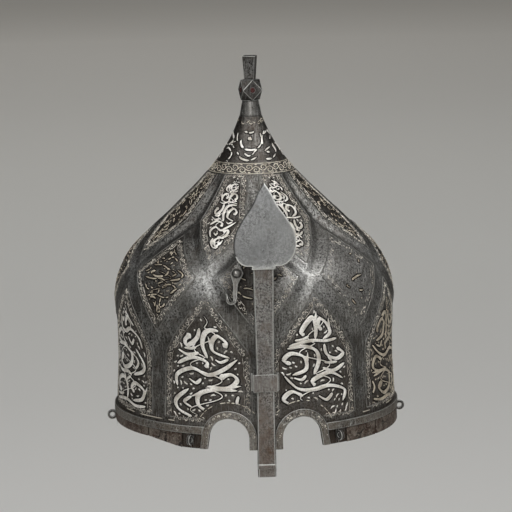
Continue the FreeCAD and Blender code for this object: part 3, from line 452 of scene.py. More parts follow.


# Painted shadow lines: start and end as places across the brow and heights, spread and strength
PAINTED_SHADOW_LINES = [((-13.0, 150.0), (-17.0, 114.0), 6.0, 1.0), ((-20.0, 141.0), (-25.0, 119.0), 9.0, 1.0),
         ((13.0, 150.0), (13.0, 140.0), 7.0, 0.8)]


def painted_hook_shadow(psi, z):
    """Painted shadow round the hook and below the leaf beside the bar: strong along a few lines."""
    points = np.stack([radius_at(z) * np.sin(psi), z], axis=-1)
    shade_share = np.zeros(len(z))
    for start, end, wide, strength in PAINTED_SHADOW_LINES:
        run = np.subtract(end, start)
        share = np.clip((points - start) @ run / (run @ run), 0, 1)
        gap = np.hypot(*(points - start - share[:, None] * run).T)
        shade_share = np.maximum(shade_share, strength * np.exp(-(gap / wide) ** 2))
    return shade_share * (np.cos(psi) > 0)


def painted_side_shade(psi, z):
    """Painted shade away from the brow: some all round, and more on the left shoulder."""
    degrees = (np.degrees(psi) + 180) % 360 - 180
    round_bowl = 0.2 * np.clip((np.abs(degrees) - 45) / 15, 0, 1)
    shoulder = 0.45 * np.clip((-degrees - 28) / 20, 0, 1) * np.clip((z - 130) / 20, 0, 1)
    return np.maximum(round_bowl, shoulder)


def crossing_wear(psi, z):
    """1 at the channels' crossings, which hands have rubbed bright, fading out round them."""
    across = (cell_turn(psi) - 0.5) * 2 * half_cell(z)
    up = length_at(z) - length_at(CROSSING)
    return np.exp(-(across / WEAR_ACROSS) ** 2 - (up / WEAR_UP) ** 2)


# Ornament: strokes of silver laid along lines in a flat chart of a panel.
# A chart's first number runs round the bowl from the panel's middle and its second up the profile.

PLAIN_HALF = 7.2
PANEL_FOOT = 22.0
BORDER_GAP = 1.2
FIELD_GAP = 1.2
# Height of the broken wires above the rim band, and how far the eyes' wires are from their strips
RIM_LINE, EYE_WIRE_GAP = 20.6, 6.6
# How far bold leaves, small ones, borders and ridges stay from the strips round the eyes, and how
# much higher the leaves start in the two panels over the eyes
CLEAR_BOLD, CLEAR_SPECK, CLEAR_BORDER, CLEAR_RIDGE = 6, 7, 2.5, 1
OVER_EYES = 9

# Sections of the strips: places across as shares of the width, and up as shares of the rise
BOLD_SECTION = np.array([(-0.5, 0), (-0.4, 0.72), (0, 1), (0.4, 0.72), (0.5, 0), (0, -1)])
FINE_SECTION = np.array([(-0.5, 0), (0, 1), (0.5, 0), (0, -1)])
GROOVE_SECTION = np.array([(-0.5, 0), (-0.3, 1), (0.3, 1), (0.5, 0), (0, -3)])
# How high each kind of strip stands, and how much wider a groove is than its stroke
BOLD_RISE, SPECK_RISE, WIRE_RISE, RIDGE_RISE, GROOVE_RISE = 0.34, 0.26, 0.26, 0.32, 0.09
GROOVE_WIDER = 2.2

# Slant of the graver in degrees, width of a border's wire, and a volute's turns and end radius
PEN_SLANT = 35
WIRE_WIDTH = 0.75
VOLUTE_TURNS, VOLUTE_CLOSE = 1.1, 0.14


def run_through(points, steps):
    """A smooth line through a few points: Catmull-Rom cubics, with the end points doubled."""
    knots = np.array([points[0], *points, points[-1]], float)
    share = np.linspace(0, 1, steps, endpoint=False)[:, None]
    spans = []
    for before, start, end, after in zip(knots[:-3], knots[1:-2], knots[2:-1], knots[3:]):
        spans.append(0.5 * (2 * start + (end - before) * share
                            + (2 * before - 5 * start + 4 * end - after) * share ** 2
                            + (3 * start - before - 3 * end + after) * share ** 3))
    return np.concatenate(spans + [knots[-1:]])


def curl(centre, start, side, steps):
    """A volute: from start round centre to one side, its radius shrinking to a given share."""
    way = np.subtract(start, centre)
    share = np.linspace(0, 1, steps)
    angle = math.atan2(way[1], way[0]) + 2 * np.pi * (side * VOLUTE_TURNS) * share
    radius = np.hypot(*way) * (1 - (1 - VOLUTE_CLOSE) * share ** 0.85)
    return centre + radius[:, None] * np.column_stack([np.cos(angle), np.sin(angle)])


def stem_widths(count, width):
    """Nearly even, drawn out to points at both ends."""
    share = np.linspace(0, 1, count)
    return width * np.minimum(1, np.minimum(share, 1 - share) * 9 + 0.08)


def leaf_widths(count, width):
    """A leaf: widest a third of the way along and pointed at both ends."""
    share = np.linspace(0, 1, count)
    return width * np.maximum(np.sin(np.pi * share ** 0.65), 0.06)


def volute_widths(count, width):
    """Thinner as it winds in, with a bud at its end."""
    share = np.linspace(0, 1, count)
    bud = np.exp(-((share - 0.94) / 0.045) ** 2)
    swell = 0.66 + 0.56 * np.sin(np.pi * np.minimum(share * 1.6, 1)) - 0.24 * share
    return width * np.minimum(swell + 0.7 * bud, (1 - share) * 16 + 0.08)


def pen_widths(line, width, bud):
    """Wide where a stroke runs along the graver's slant and narrow across it; pointed or budded."""
    ways = np.gradient(line, axis=0)
    angle = np.arctan2(ways[:, 1], ways[:, 0])
    share = np.linspace(0, 1, len(line))
    broad = 0.5 + 0.62 * np.abs(np.sin(angle + math.radians(PEN_SLANT)))
    swell = 0.8 + 0.35 * np.sin(np.pi * share)
    ends = np.minimum(share * 7, (1 - share) * 5) + 0.12
    if bud:
        swell = swell + 0.8 * np.exp(-((share - 0.93) / 0.05) ** 2)
        ends = np.minimum(share * 7 + 0.12, (1 - share) * 16 + 0.15)
    return width * np.minimum(broad * swell, ends * 1.4)


# Arabesque leaves and hooks for one bay, in shares of the room each side and of the bay's height:
# the places each stroke passes through, its share of the full width, and whether it ends in a bud.
MOTIFS = [
    [([(-0.95, 0.10), (-0.5, 0.02), (0.05, 0.13), (0.5, 0.10), (0.95, 0.0)], 0.9, False),
     ([(-0.35, 0.16), (-0.82, 0.3), (-0.88, 0.66), (-0.5, 0.84), (-0.2, 0.66), (-0.4, 0.46)],
      1.0, True),
     ([(0.0, 0.2), (0.02, 0.55), (0.36, 0.88), (0.8, 0.76), (0.84, 0.44), (0.55, 0.34)], 1.1, True),
     ([(-0.15, 0.98), (0.06, 0.82), (0.0, 0.64)], 0.7, False),
     ([(0.9, 0.2), (0.62, 0.2), (0.35, 0.3)], 0.7, False)],
    [([(-0.9, 0.92), (-0.3, 1.0), (0.2, 0.78), (0.18, 0.38), (-0.28, 0.22), (-0.62, 0.44),
       (-0.36, 0.62)], 1.1, True),
     ([(0.4, 0.04), (0.82, 0.22), (0.9, 0.56), (0.5, 0.96)], 1.0, False),
     ([(-0.95, 0.16), (-0.5, 0.04), (0.0, 0.1), (0.24, 0.0)], 0.9, False),
     ([(0.42, 0.3), (0.62, 0.5), (0.46, 0.7)], 0.8, False),
     ([(-0.95, 0.36), (-0.84, 0.56), (-0.94, 0.76)], 0.7, False)],
    [([(-0.85, 0.0), (-0.9, 0.36), (-0.42, 0.6), (0.1, 0.46), (0.52, 0.6), (0.9, 0.98)],
      1.0, False),
     ([(0.05, 0.02), (0.6, 0.02), (0.92, 0.26), (0.7, 0.5), (0.36, 0.34)], 1.0, True),
     ([(-0.9, 0.72), (-0.42, 0.98), (0.05, 0.84), (0.0, 0.66)], 1.0, True),
     ([(-0.52, 0.3), (-0.3, 0.12), (-0.1, 0.28)], 0.8, False),
     ([(0.3, 0.98), (0.42, 0.84), (0.66, 0.96)], 0.7, False)],
    [([(-0.7, 0.02), (-0.28, 0.2), (-0.3, 0.56), (-0.7, 0.72), (-0.92, 0.5), (-0.7, 0.36)],
      1.0, True),
     ([(-0.05, 0.0), (0.1, 0.42), (0.0, 0.8), (-0.45, 0.96), (-0.92, 0.9)], 1.1, False),
     ([(0.35, 0.98), (0.36, 0.64), (0.7, 0.4), (0.95, 0.56), (0.74, 0.76)], 1.0, True),
     ([(0.2, 0.16), (0.56, 0.06), (0.95, 0.2)], 0.9, False),
     ([(0.3, 0.34), (0.5, 0.28), (0.72, 0.32)], 0.7, False)],
]


def arabesque(low, high, room, width, bay, seed):
    """Bays of leaves and hooks up a panel, no two bays together alike, over a thin winding stem."""
    draw = np.random.default_rng(seed)
    strokes = []
    stem = []
    place = low
    count = int(draw.integers(len(MOTIFS)))
    side = 1 if draw.random() < 0.5 else -1
    while True:
        reach = min(bay, 1.6 * room(place + bay / 2))
        if reach < 0.34 * bay or place + reach > high:
            break
        for knots, share, bud in MOTIFS[count % len(MOTIFS)]:
            spots = np.array(knots) + draw.uniform(-0.035, 0.035, (len(knots), 2))
            up = place + reach * spots[:, 1]
            across = side * spots[:, 0] * np.array([room(length) - 0.35 * width for length in up])
            line = run_through(np.column_stack([across, up]), 6)
            full = share * width * min(1, 0.35 + 0.65 * reach / bay)
            strokes.append((line, pen_widths(line, full, bud)))
            if bud:
                strokes.append(side_leaf(line, width))
        share = np.linspace(0, 1, 24, endpoint=False)
        swing = 0.45 * side * room(place + reach / 2)
        stem.append(np.column_stack([swing * np.sin(2 * np.pi * share), place + reach * share]))
        place += 1.02 * reach
        count += 1
        side = -side
    tip = high - place
    stem.append(np.array([(0, place)]))
    if tip > 3 * width:
        bend = 0.4 * side * room(place + tip / 2)
        end = [(0, place), (bend, place + 0.35 * tip), (0, place + 0.7 * tip)]
        stem.append(run_through(end, 5)[1:])
    line = np.concatenate(stem)
    strokes.append((line, stem_widths(len(line), width * 0.26)))
    return strokes


def side_leaf(line, width):
    """A small pointed leaf that parts from a hook's back, a third of the way along."""
    place = len(line) // 3
    way = line[place + 1] - line[place - 1]
    way = way / max(math.hypot(*way), 1e-9)
    turn = line[-1] - line[place]
    outward = np.array([way[1], -way[0]])
    outward = -outward if outward @ turn > 0 else outward
    base = line[place]
    leaf = run_through([base - 0.6 * width * way,
                        base + 0.5 * width * way + 0.5 * width * outward,
                        base + 1.9 * width * way + 1.1 * width * outward], 5)
    return leaf, leaf_widths(len(leaf), 0.75 * width)


def worn_away(strokes, share, seed):
    """What is left of strokes that have lost silver: short runs of them, drawn at random."""
    draw = np.random.default_rng(seed)
    kept = []
    for line, widths in strokes:
        place = int(draw.integers(0, 3))
        while place + 4 <= len(line):
            run = int(draw.integers(4, 9))
            if draw.random() < share:
                part = widths[place:place + run] * draw.uniform(0.6, 1.0)
                steps = np.arange(len(part))
                part = part * np.minimum(1, np.minimum(steps, steps[::-1]) + 0.3)
                kept.append((line[place:place + run], part))
            place += run
    return [stroke for stroke in kept if len(stroke[0]) > 2]


def vine(low, high, room, largest, width, steps):
    """A winding stem between two lengths, with a volute in each bay and dots on its outer sides.

    The stem swings from side to side by a sine. Each swing lasts two shares of the room there, and
    the volute goes on from its end round the bay's middle. Strokes are (points, widths) pairs.
    """
    strokes = []
    stem = []
    place = low
    side = 1
    while True:
        reach = min(largest, 0.6 * room(place + largest), (high - place) / 2 + largest / 4)
        if place + 2 * reach > high or reach < 0.35 * largest:
            break
        share = np.linspace(0, 1, 12, endpoint=False)
        swing = 0.62 * reach * np.sin(np.pi * share)
        stem.append(np.column_stack([side * swing, place + 2 * reach * share]))
        middle = (-side * 0.42 * reach, place + reach)
        winding = curl(middle, (0, place + 2 * reach), side, steps)
        strokes.append((winding, volute_widths(len(winding), width * 1.05)))
        for beside, ups, swell in ((1.28, (0.62, 1, 1.38), 1.5), (-1.2, (1.72, 2, 2.3), 1.2)):
            dot = np.array([(side * beside * reach, place + reach * up) for up in ups])
            strokes.append((dot, np.array([0.3, swell, 0.3]) * width))
        place += 2 * reach
        side = -side
    stem.append(np.array([(0, place)]))
    tip = min(high - place, largest)
    if tip > 2 * width:
        end = [(0, place), (side * 0.3 * tip, place + 0.4 * tip), (0, place + tip)]
        stem.append(run_through(end, 5)[1:])
    line = np.concatenate(stem)
    strokes.append((line, stem_widths(len(line), width * 0.85)))
    return strokes


def fillers(strokes, half, low, high, inset, spacing, width, seed):
    """Small commas and dots where the ground between the bold strokes is wide enough for them.

    Candidates lie on a jittered grid. Each is kept if it is far enough from every stroke, and
    lies along the stroke nearest to it.
    """
    draw = np.random.default_rng(seed)
    lengths = np.arange(length_at(low) + spacing / 2, length_at(high), spacing * 0.87)
    widest = float(half(np.linspace(low, high, 50)).max())
    across = np.arange(-widest, widest, spacing)
    grid = np.array([(place + (row % 2) * spacing / 2, length)
                     for row, length in enumerate(lengths) for place in across])
    grid += draw.uniform(-0.18, 0.18, grid.shape) * spacing
    z = height_at(grid[:, 1])
    grid = grid[np.abs(grid[:, 0]) < half(z) - (inset + width) * channel_slant(z)]
    points = np.concatenate([line for line, _ in strokes])
    halves = np.concatenate([widths for _, widths in strokes]) / 2
    ways = np.concatenate([np.gradient(line, axis=0) for line, _ in strokes])
    gaps = np.hypot(grid[:, None, 0] - points[None, :, 0],
                    grid[:, None, 1] - points[None, :, 1]) - halves
    nearest = gaps.argmin(axis=1)
    free = gaps.min(axis=1)
    small = []
    for spot, gap, way in zip(grid, free, ways[nearest]):
        if gap < width * 1.15:
            continue
        way = way / max(math.hypot(*way), 1e-9)
        reach = min(gap * 0.8, spacing * 0.42) * (0.5 if draw.random() < 0.45 else 1.0)
        bow = np.array([way[1], -way[0]]) * reach * 0.25
        line = np.array([spot - way * reach, spot - way * reach * 0.4 + bow,
                         spot + way * reach * 0.4 + bow, spot + way * reach])
        small.append((line, width * np.array([0.35, 1.05, 1.0, 0.2])))
    return small


def turned(strokes, line):
    """Strokes drawn along a straight chart, bent to run along a line: across, then along."""
    steps = np.hypot(*np.diff(line, axis=0).T)
    places = np.append(0, np.cumsum(steps))
    ways = np.gradient(line, places, axis=0)
    ways /= np.maximum(np.hypot(*ways.T), 1e-9)[:, None]
    bent = []
    for points, widths in strokes:
        along = np.clip(points[:, 1], 0, places[-1])
        base, way = [np.column_stack([np.interp(along, places, column) for column in table.T])
                     for table in (line, ways)]
        way /= np.maximum(np.hypot(*way.T), 1e-9)[:, None]
        bent.append((base + points[:, :1] * np.column_stack([way[:, 1], -way[:, 0]]), widths))
    return bent


def line_length(line):
    """The sum of a line's steps."""
    return float(np.hypot(*np.diff(line, axis=0).T).sum())


def on_bowl(middle, chart, lift):
    """Chart places to places on the bowl: round by arc length there, up by profile length."""
    z = height_at(chart[..., 1])
    return skull_points(middle + chart[..., 0] / radius_at(z), z, lift)


def lay_strokes(strokes, middle, section, rise, widen=0.0, surface=on_bowl):
    """Closed strips with the given section, laid along each stroke of a chart round a middle.

    At each point of a stroke the section stands across its direction, as wide as the stroke there
    and as high as rise; each end is drawn into one point.
    """
    points = []
    quads = []
    triangles = []
    total = 0
    corners = len(section)
    for line, widths in strokes:
        ways = np.gradient(line, axis=0)
        ways /= np.maximum(np.hypot(*ways.T), 1e-9)[:, None]
        across = np.column_stack([ways[:, 1], -ways[:, 0]])
        wide = widths + widen
        offsets = (wide[:, None] * section[None, :, 0])[:, :, None]
        chart = line[:, None, :] + across[:, None, :] * offsets
        heights = np.broadcast_to(section[:, 1] * rise, chart.shape[:2])
        rings = len(line)
        past_end = widen / 2 + 0.05
        ends = np.stack([line[0] - ways[0] * past_end, line[-1] + ways[-1] * past_end])
        here = np.arange(rings - 1)[:, None] * corners
        around = np.arange(corners)[None, :]
        following = (around + 1) % corners
        block = np.stack([here + around, here + following, here + corners + following,
                          here + corners + around], axis=-1).reshape(-1, 4)
        ring = np.arange(corners)
        after = (ring + 1) % corners
        foot = np.column_stack([after, ring, np.full(corners, rings * corners)])
        top = np.column_stack([ring, after, np.full(corners, rings * corners + 1)])
        top[:, :2] += (rings - 1) * corners
        body = surface(middle, chart, heights).reshape(-1, 3)
        points.append(np.concatenate([body, surface(middle, ends, 0.0)]))
        quads.append(block + total)
        triangles.append(np.concatenate([foot, top]) + total)
        total += rings * corners + 2
    return np.concatenate(points), [np.concatenate(quads), np.concatenate(triangles)]


def joined(parts):
    """Several (points, faces) pairs as one."""
    points = []
    quads = []
    triangles = []
    total = 0
    for places, (fours, threes) in parts:
        points.append(places)
        quads.append(fours + total)
        triangles.append(threes + total)
        total += len(places)
    return np.concatenate(points), [np.concatenate(quads), np.concatenate(triangles)]


# Panels: half widths at a height, from the lattice, and the lines that bound them

OUTLINE_STEPS = 60
# Share of a border that is left in most panels
BORDER_LEFT = 0.86


def plain_half(z):
    """Half the plain band, measured level."""
    return PLAIN_HALF * channel_reach(z) / CHANNEL_HALF * channel_slant(z)


def panel_half(z):
    """Half width of the panels between the channels' lines, below and above the crossing."""
    return (1 - channel_share(z)) * half_cell(z) - plain_half(z)


def lozenge_half(z):
    """Half width of the lozenges that stand between the two arms of a channel."""
    return channel_share(z) * half_cell(z) - plain_half(z)


def outline(half, low, high, inset, closed_foot):
    """The line round a panel, a given distance inside its edges, in chart numbers.

    It goes up the left side to the apex and down the right; a panel with a level foot is closed
    along it.
    """
    z = np.linspace(low, high, 400)
    wide = half(z)
    slope = np.gradient(wide, length_at(z))
    inner = wide - inset * np.sqrt(1 + slope ** 2)
    open_part = inner > 0.05
    z, inner = z[open_part], inner[open_part]
    chosen = np.linspace(0, len(z) - 1, OUTLINE_STEPS).astype(int)
    z, inner = z[chosen], inner[chosen]
    up = length_at(z)
    left = np.column_stack([-inner, up])
    right = np.column_stack([inner, up])[::-1]
    line = np.concatenate([left, right])
    if closed_foot:
        across = np.linspace(inner[0], -inner[0], 20)[1:-1]
        foot = np.column_stack([across, np.full(len(across), up[0])])
        line = np.concatenate([line, foot, line[:1]])
    return line


def field_room(half, inset):
    """Room each side of a panel's middle at a length up the profile, inside its border."""
    def room(length):
        z = height_at(length)
        return float(half(z)) - inset * float(channel_slant(z))
    return room


def middles(offset):
    """Angles of the panels' middles: the cells' edges, moved on by a share of a cell."""
    return [math.radians(LATTICE_TURN + 360 / CELLS * (cell + offset)) for cell in range(CELLS)]


def clear_of_eyes(strokes, middle, margin, shortest=3):
    """The strokes, or the runs of them, that keep clear of the strips round the eye cut-outs."""
    kept = []
    for line, widths in strokes:
        z = height_at(line[:, 1])
        distance, _ = eye_distance(middle + line[:, 0] / radius_at(z), z)
        clear = distance > margin
        if clear.all():
            kept.append((line, widths))
            continue
        ends = np.flatnonzero(np.diff(np.concatenate([[0], clear.astype(int), [0]])))
        kept += [(line[first:last], widths[first:last])
                 for first, last in zip(ends[::2], ends[1::2]) if last - first >= shortest]
    return kept


def border_strokes(line, width):
    """A fine vine along a border's middle line, with dots in each bay."""
    end = line_length(line) - 0.6
    scroll = vine(0.6, end, lambda place: width / 2, width * 0.36, WIRE_WIDTH, 9)
    return turned(scroll, line)


def side_lines(half, low, high, inset, closed_foot, width):
    """One stroke of even width along a panel's outline."""
    line = outline(half, low, high, inset, closed_foot)
    return [(line, np.full(len(line), width))]


def silver_left(name, degrees):
    """Shares of a panel's bold leaves and of its border that are left, and whether it is dull.

    Most is gone from the lozenges, above all right of the brow, and some from the petals that
    stand away from the brow. None means that the leaves are whole.
    """
    if name == "lozenge":
        if 20 < degrees < 70:
            return 0.1, 0.35, False
        return 0.4 if abs(degrees) < 20 else 0.75, BORDER_LEFT, False
    if name == "lower":
        return None, BORDER_LEFT, 40 < degrees < 100
    if abs(degrees) > 40:
        return 0.5 if degrees > 0 else 0.68, BORDER_LEFT, True
    return None, BORDER_LEFT, False


def make_ornament(silver, faded_silver, wire_silver, dark, steel):
    """The panels' inlay: bold arabesques in dark grooves, with small leaves between them.

    A fine scroll and a wire go round inside each panel's edge, and a thin ridge along it.
    """
    kinds = [
        # name, half width, lowest and highest height, middles, level foot, border's width,
        # strokes' width, bay's height, filler's spacing and width, silver
        ("lower", panel_half, PANEL_FOOT + 1.5, CROSSING - 4, middles(0.5), True, 5.0, 3.3, 24.0,
         5.0, 1.2, silver),
        ("lozenge", lozenge_half, FORK, MERGE, middles(0), False, 4.4, 1.7, 13.0, 3.4, 0.8,
         faded_silver),
        ("petal", panel_half, CROSSING + 4, NECK - 1.0, middles(0.5), False, 4.2, 2.1, 18.0, 4.4,
         0.9, silver),
    ]
    for (name, half, low, high, centres, foot, border_width, width, bay, spacing, speck,
         bold_silver) in kinds:
        inner = BORDER_GAP + border_width
        inset = inner + FIELD_GAP
        fine = border_strokes(outline(half, low, high, BORDER_GAP + border_width / 2, foot),
                              border_width)
        fine += side_lines(half, low, high, inner + 0.2, foot, 0.4)
        edge = side_lines(half, low, high, 0.1, foot, 1.0)
        room = field_room(half, inset)
        heights = np.linspace(low, high, 300)
        open_z = heights[half(heights) - inset * channel_slant(heights) > 1.5]
        start, end = length_at(open_z[0]) + 2, length_at(open_z[-1])
        if foot:
            start = length_at(low) + 1.5
        bold_parts, faded_parts, groove_parts, fine_parts, edge_parts = [], [], [], [], []
        for number, centre in enumerate(centres):
            degrees = (math.degrees(centre) + 180) % 360 - 180
            near_eye = foot and abs(math.degrees(centre)) < 40
            begin = start + OVER_EYES if near_eye else start
            bold = arabesque(begin, end, room, width, bay, 31 * number + len(name))
            small = fillers(bold, half, low, high, inset, spacing, speck, number)
            left, border_left, dull = silver_left(name, degrees)
            if left:
                bold = worn_away(bold, left, number)
            if name == "lozenge":
                small = [stroke for place, stroke in enumerate(small) if place % 10 < 8 * left]
            bold = clear_of_eyes(bold, centre, EYE_STRIP + CLEAR_BOLD, 5)
            small = clear_of_eyes(small, centre, EYE_STRIP + CLEAR_SPECK, 4)
            fine_left = clear_of_eyes(worn_away(fine, border_left, number + 7), centre,
                                      EYE_STRIP + CLEAR_BORDER)
            edge_left = clear_of_eyes(edge, centre, EYE_STRIP + CLEAR_RIDGE)
            kept = faded_parts if dull else bold_parts
            kept.append(lay_strokes(bold, centre, BOLD_SECTION, BOLD_RISE))
            if small:
                kept.append(lay_strokes(small, centre, BOLD_SECTION, SPECK_RISE))
            groove_parts.append(lay_strokes(bold, centre, GROOVE_SECTION, GROOVE_RISE,
                                            GROOVE_WIDER))
            fine_parts.append(lay_strokes(fine_left, centre, FINE_SECTION, WIRE_RISE))
            edge_parts.append(lay_strokes(edge_left, centre, FINE_SECTION, RIDGE_RISE))
        for label, parts, material in (
                ("inlay_%s_leaves", bold_parts, bold_silver),
                ("inlay_%s_leaves_worn", faded_parts, faded_silver),
                ("inlay_%s_grooves", groove_parts, dark),
                ("inlay_%s_border", fine_parts, wire_silver),
                ("ridge_%s_panels", edge_parts, steel)):
            if parts:
                helmet_piece(label % name, *joined(parts), material)


def make_arch_inlay(silver):
    """What is left of a fine scroll along the strips round the eye cut-outs.

    The strips' outer faces lie on cylinders of nearly the same radius, so the chart is wrapped
    round one that leans with the bowl.
    """
    parts = []
    for side in (-1, 1):
        radius = EYE_HALF + EYE_STRIP / 2
        angle = np.linspace(-0.1, math.pi + 0.1, 60)
        line = np.column_stack([radius * np.cos(angle), EYE_SPRING + radius * np.sin(angle)])
        length = line_length(line)
        scroll = turned(vine(0.5, length - 0.5, lambda place: 1.9, 1.7, WIRE_WIDTH, 9), line)
        draw = np.random.default_rng(5 + side)
        left = [stroke for stroke in scroll[:-1] if draw.random() < 0.36]
        parts.append(lay_strokes(left, side * math.radians(EYE_ANGLE), FINE_SECTION, 0.22,
                                 surface=strip_points))
    helmet_piece("inlay_eye_arches", *joined(parts), silver, "fitting_steel")


def strip_points(middle, chart, lift):
    """Places on the strips round the eye cut-outs: round by arc length, up by height."""
    radius = STRIP_RADIUS - STRIP_LEAN * chart[..., 1] + lift
    psi = middle + chart[..., 0] / RIM_RADIUS
    return np.stack([radius * np.sin(psi), -radius * np.cos(psi), chart[..., 1]], axis=-1) * MM


def make_rim_lines(silver):
    """A thin worn wire round each eye cut-out's strip, and broken ones just above the rim band."""
    parts = []
    for side, first, last in ((-1, 32, 160), (1, 20, 148)):
        radius = EYE_HALF + EYE_STRIP + EYE_WIRE_GAP
        angle = np.radians(np.linspace(first, last, 70))
        z = EYE_SPRING + radius * np.sin(angle)
        line = np.column_stack([radius * np.cos(angle), length_at(z)])
        left = worn_away([(line, stem_widths(len(line), 0.8))], 0.8, 9 + side)
        parts.append(lay_strokes(left, side * math.radians(EYE_ANGLE), FINE_SECTION, 0.3))
    for first, last in ((-70, -62), (-58, -44), (-41, -38), (44, 49), (63, 71)):
        psi = np.radians(np.linspace(first, last, 12))
        line = np.column_stack([psi * RIM_RADIUS, np.full(len(psi), length_at(RIM_LINE))])
        parts.append(lay_strokes([(line, stem_widths(len(psi), 0.8))], 0.0, FINE_SECTION, 0.3))
    helmet_piece("inlay_rim_lines", *joined(parts), silver)


def ring_line(z):
    """A level line round the bowl as a chart with its middle at the brow, closed at the back."""
    around = np.linspace(-np.pi, np.pi, 96) * radius_at(z)
    return np.column_stack([around, np.full(len(around), length_at(z))])


def make_neck_bands(silver, wire_silver, dark):
    """Level bands round the neck: a fine scroll between wires, bold leaves, and a worn scroll."""
    fine_parts = []
    for low, high, left in ((NECK + 0.8, NECK + 8.4, 1.0), (248.0, 253.4, 0.6)):
        middle = (low + high) / 2
        length = 2 * np.pi * radius_at(middle)
        wide = length_at(high) - length_at(low)
        scroll = vine(0, length, lambda place: wide / 2, wide * 0.34, 0.8, 10)
        whole = left == 1
        level = turned(scroll if whole else worn_away(scroll, left, 2), ring_line(middle))
        fine_parts.append(lay_strokes(level, 0.0, FINE_SECTION, WIRE_RISE))
        for line in [ring_line(low), ring_line(high)] if whole else []:
            wire = [(line, np.full(len(line), 0.6))]
            fine_parts.append(lay_strokes(wire, 0.0, FINE_SECTION, 0.3))
    low, high = NECK + 11.0, 246.0
    middle = (low + high) / 2 - 2
    length = 2 * np.pi * radius_at(middle)
    wide = length_at(high) - length_at(low)
    bold = arabesque(1, length - 1, lambda place: wide / 2, 2.3, length / 5.4, 3)
    bold = turned(worn_away(bold[:-1], 0.86, 4), ring_line(middle))
    helmet_piece("inlay_neck_leaves", *lay_strokes(bold, 0.0, BOLD_SECTION, 0.3), silver)
    helmet_piece("inlay_neck_grooves", *lay_strokes(bold, 0.0, GROOVE_SECTION, GROOVE_RISE, 2.0),
                 dark)
    helmet_piece("inlay_neck_bands", *joined(fine_parts), wire_silver)


# Nasal leaf: a plate with rounded edges, upright below its bend and curving in over the brow

LEAF_TIP, LEAF_LENGTH, LEAF_HALF = 214.5, 68.2, 24.7
LEAF_FRONT = 123.45
LEAF_THICKNESS = 1.75
LEAF_BEND, LEAF_BEND_RADIUS = 165.0, 250.0
LEAF_EDGE = 1.1
LEAF_SWAY_HEIGHTS = [146.3, 156, 170, 190, 214.5]
LEAF_SWAY = [0, 1.2, 1.8, 2.0, 1.9]
LEAF_INSETS = np.array([0, 0.12, 0.35, 0.9, 1.5])
LEAF_SLOPE_MOST = 3
LEAF_DROP_SHARES = [0, 0.120, 0.228, 0.316, 0.375, 0.494, 0.593, 0.712, 0.809, 0.880, 0.938]
LEAF_WIDTH_SHARES = [0, 0.215, 0.350, 0.502, 0.624, 0.826, 0.947, 1, 0.962, 0.880, 0.735]
LOBE_DROP_SHARE, LOBE_WIDTH_SHARE, TONGUE_WIDTH_SHARE = 0.962, 0.575, 0.375
LOBE_STEP_SHARE = 0.0003


def leaf_outline():
    """Half widths at heights, from the tongue's foot to the tip."""
    flank = run_through(list(zip(LEAF_DROP_SHARES, LEAF_WIDTH_SHARES)), 12)[::-1]
    corners = [(1, TONGUE_WIDTH_SHARE), (LOBE_DROP_SHARE + LOBE_STEP_SHARE, TONGUE_WIDTH_SHARE),
               (LOBE_DROP_SHARE, LOBE_WIDTH_SHARE)]
    shares = np.concatenate([corners, flank])
    return LEAF_TIP - shares[:, 0] * LEAF_LENGTH, shares[:, 1] * LEAF_HALF


